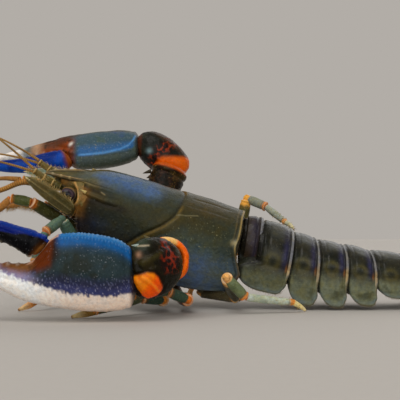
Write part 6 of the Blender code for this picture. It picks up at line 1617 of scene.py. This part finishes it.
def setae():
    pale = rgb(196, 170, 110)
    # tail fan: hind rims
    coat = Coat()
    for k, (p, x, q) in enumerate(FAN_EDGES):
        cols = p.shape[1]
        place = np.nonzero(x[:, 0] > 0.86)[0]
        last = None
        for i in place[::2]:
            for j in (0, cols // 2):
                pt = p[i, j]
                d = unit(unit(pt - p[i].mean(axis=0)) * 0.6 + vec(1, 0, -0.25))
                coat.tuft(pt, d, 1.5, 0.05, rgb(160, 140, 96), (0.05 + 0.15 * k + 0.04 * (j > 0), 0.05 + 0.1 * x[i, j]), hairs=4, spread=0.22)
        i = int(np.argmin(np.abs(x[:, 0] - 0.985)))
        for j in range(0, cols, 2):
            pt = p[i, j]
            d = unit(unit(pt - p[i].mean(axis=0)) * 0.35 + vec(1, 0, -0.28))
            coat.tuft(pt, d, 1.9, 0.05, rgb(160, 140, 96), (0.05 + 0.15 * k + 0.1 * j / cols, 0.3), hairs=4, spread=0.22)
    coat.done("setae_tail_fan")
    # antennal scales: inner rims
    coat = Coat()
    for k, (p, x, q, word) in enumerate(SCALE_EDGES):
        cols = p.shape[1]
        sign = -1
        for j in (0, cols // 2):
            inner = np.dot(p[65, j] - p[65].mean(axis=0), UP)
            if inner < 0:
                continue
            for i in range(20, 126, 3):
                pt = p[i, j]
                d = unit(unit(pt - p[i].mean(axis=0)) + (0.9) * unit(p[-1].mean(axis=0) - p[0].mean(axis=0)))
                coat.tuft(pt, d, 1.4, 0.05, pale, (0.1 + 0.3 * k, 0.1 + 0.2 * x[i, j]), hairs=4, spread=0.3)
    # bristly tuft where the antennules leave the head
    for sign in (1, -1):
        for k in range(26):
            s = 1.2 - 5.4 * _hash(k, sign + 3, 0, 311)
            a = sign * (1.6 + 1.9 * _hash(k, sign + 3, 1, 311))
            root = bpoint(s, a, 6.6 + 1.2 * (1.2 - s) / 5.4)
            d = unit(-T * 0.9 + UP * (0.55 * _hash(k, sign + 3, 2, 311)) + LEFT * sign * (_hash(k, sign + 3, 3, 311) - 0.4) * 0.8)
            coat.tuft(root, d, 1.7, 0.05, pale, (0.7 + 0.03 * (k % 8), 0.1 + 0.04 * (k // 8) + 0.3 * (sign > 0)), hairs=4, spread=0.35)
    coat.done("setae_head")
    # mouthparts: dense inner fringes
    coat = Coat()
    for n, (word, pts) in enumerate(MAXILLIPED.items()):
        sign = 1 if word == "left" else -1
        for k in (1, 2, 3, 4):
            a, c = pts[k], pts[k + 1]
            d = unit(c - a)
            toward = unit(-LEFT * sign * 0.5 - UP * 0.6)
            toward = unit(toward - d * (toward @ d))
            r = (1.7, 1.7, 1.3, 0.9)[k - 1]
            for i in range(15 if k < 4 else 12):
                t = (i + 0.5) / (15 if k < 4 else 12)
                for j, w in enumerate((-0.5, 0.0, 0.5)):
                    o = unit(toward + w * np.cross(d, toward))
                    root = a + (c - a) * t + o * r * 0.9
                    coat.tuft(root, unit(o + d * 0.6), 1.7 if k < 4 else 1.3, 0.05, rgb(176, 140, 78), (0.1 + 0.35 * n + 0.07 * k + 0.006 * j, 0.1 + 0.3 * t), hairs=3, spread=0.35)
    coat.done("setae_mouth")
    # legs: short tufts on the last joints
    coat = Coat()
    for n, ((word, number), joints) in enumerate(LEGS.items()):
        wrist, toe, tip = (vec(*v) for v in joints[2:])
        for part, (a, c) in enumerate(((wrist, toe), (toe, tip))):
            d = unit(c - a)
            side = unit(np.cross(d, vec(0.1, 0.15, 1.0)))
            top = np.cross(side, d)
            count = 9 if part == 0 else 6
            for i in range(count):
                t = 0.25 + 0.7 * (i + 0.5) / count
                r = (1.05 if part == 0 else 0.55 * (1 - t) + 0.35)
                for j, q in enumerate((0.4, 2.0, 3.6, 5.2)):
                    o = math.cos(q + 0.7 * i) * side + math.sin(q + 0.7 * i) * top
                    root = a + (c - a) * t + o * r * 0.88
                    if root[2] < 0.9 and o[2] < 0.2:
                        continue
                    coat.tuft(root, unit(o * 0.7 + d), 0.8, 0.04, rgb(186, 160, 104), (0.05 + 0.11 * n + 0.02 * j, 0.1 + 0.4 * part + 0.3 * t), hairs=3, spread=0.35)
    coat.done("setae_legs")
    # side plates and swimmerets of the tail
    coat = Coat()
    for k, spec in enumerate(RINGS[1:]):
        for t in np.linspace(0.14, 0.94, 26):
            pts, share, side, a, d = ring_section(spec, float(t))
            for j, sgn in ((2, 1), (len(share) - 13, -1)):
                i = int(np.argmin(np.abs(share + 0.985) + (0 if sgn * 1 > 0 else 0) + (np.sign(side) != sgn) * 9))
                pt = pts[i]
                coat.tuft(pt + vec(0, 0.25 * sgn, 0.05), vec(0.45, 0.25 * sgn, -1.0), 0.7, 0.035, rgb(150, 136, 100), (0.05 + 0.17 * k + 0.08 * (sgn > 0), 0.1 + 0.3 * t), hairs=3, spread=0.3)
    coat.done("setae_tail")


# ================================================================ scene
def stage():
    floor = bpy.data.meshes.new("floor")
    r = 4.0
    floor.from_pydata([(-r, -r, 0), (r, -r, 0), (r, r, 0), (-r, r, 0)], [], [(0, 1, 2, 3)])
    ob = bpy.data.objects.new("floor", floor)
    bpy.context.scene.collection.objects.link(ob)
    m = Nodes("floor_paper")
    n = m.noise(2.0, 3.0)
    col = m.blend(rgb(191, 187, 182), rgb(195, 191, 186), n)
    m.link(col, "Base Color")
    m.p.inputs["Roughness"].default_value = 0.75
    m.p.inputs["Specular IOR Level"].default_value = 0.05
    floor.materials.append(m.mat)

    world = bpy.data.worlds.new("studio")
    bpy.context.scene.world = world
    world.use_nodes = True
    bg = world.node_tree.nodes["Background"]
    bg.inputs["Color"].default_value = (*rgb(178, 173, 167), 1.0)
    bg.inputs["Strength"].default_value = 1.0

    def lamp(name, place, level, angle, colour=(1, 1, 1)):
        """Very soft lamp far away; level is the light that it gives a white sheet facing it."""
        data = bpy.data.lights.new(name, "SUN")
        data.angle, data.energy, data.color = math.radians(angle), level * PI, colour
        o = bpy.data.objects.new(name, data)
        o.location = place
        o.rotation_euler = (-Vector(place)).to_track_quat("-Z", "Y").to_euler()
        bpy.context.scene.collection.objects.link(o)

    lamp("key", (-0.25, -0.45, 0.85), 0.32, 40, (1.0, 0.98, 0.95))
    lamp("front", (-0.05, -0.97, 0.14), 0.36, 60, (1.0, 1.0, 1.0))
    lamp("back", (0.4, 0.8, 0.6), 0.12, 50, (0.95, 0.98, 1.0))

    cam = bpy.data.cameras.new("camera")
    cam.sensor_width = 36.0
    cam.lens = 36.0 * 830 / 400
    cam.clip_start, cam.clip_end = 0.01, 20.0
    co = bpy.data.objects.new("camera", cam)
    co.location = (-ORIGIN[0] * MM, (-240.0 - ORIGIN[1]) * MM, 20.9 * MM)
    co.rotation_euler = (PI / 2 + math.atan(35 / 830), 0.0, 0.0)
    bpy.context.scene.collection.objects.link(co)
    bpy.context.scene.camera = co
    bpy.context.scene.view_settings.view_transform = "Standard"


carapace()
head_front()
eyes()
claws()
arms()
legs()
abdomen()
fan()
feelers()
antennal_scales()
mouthparts()
setae()
stage()
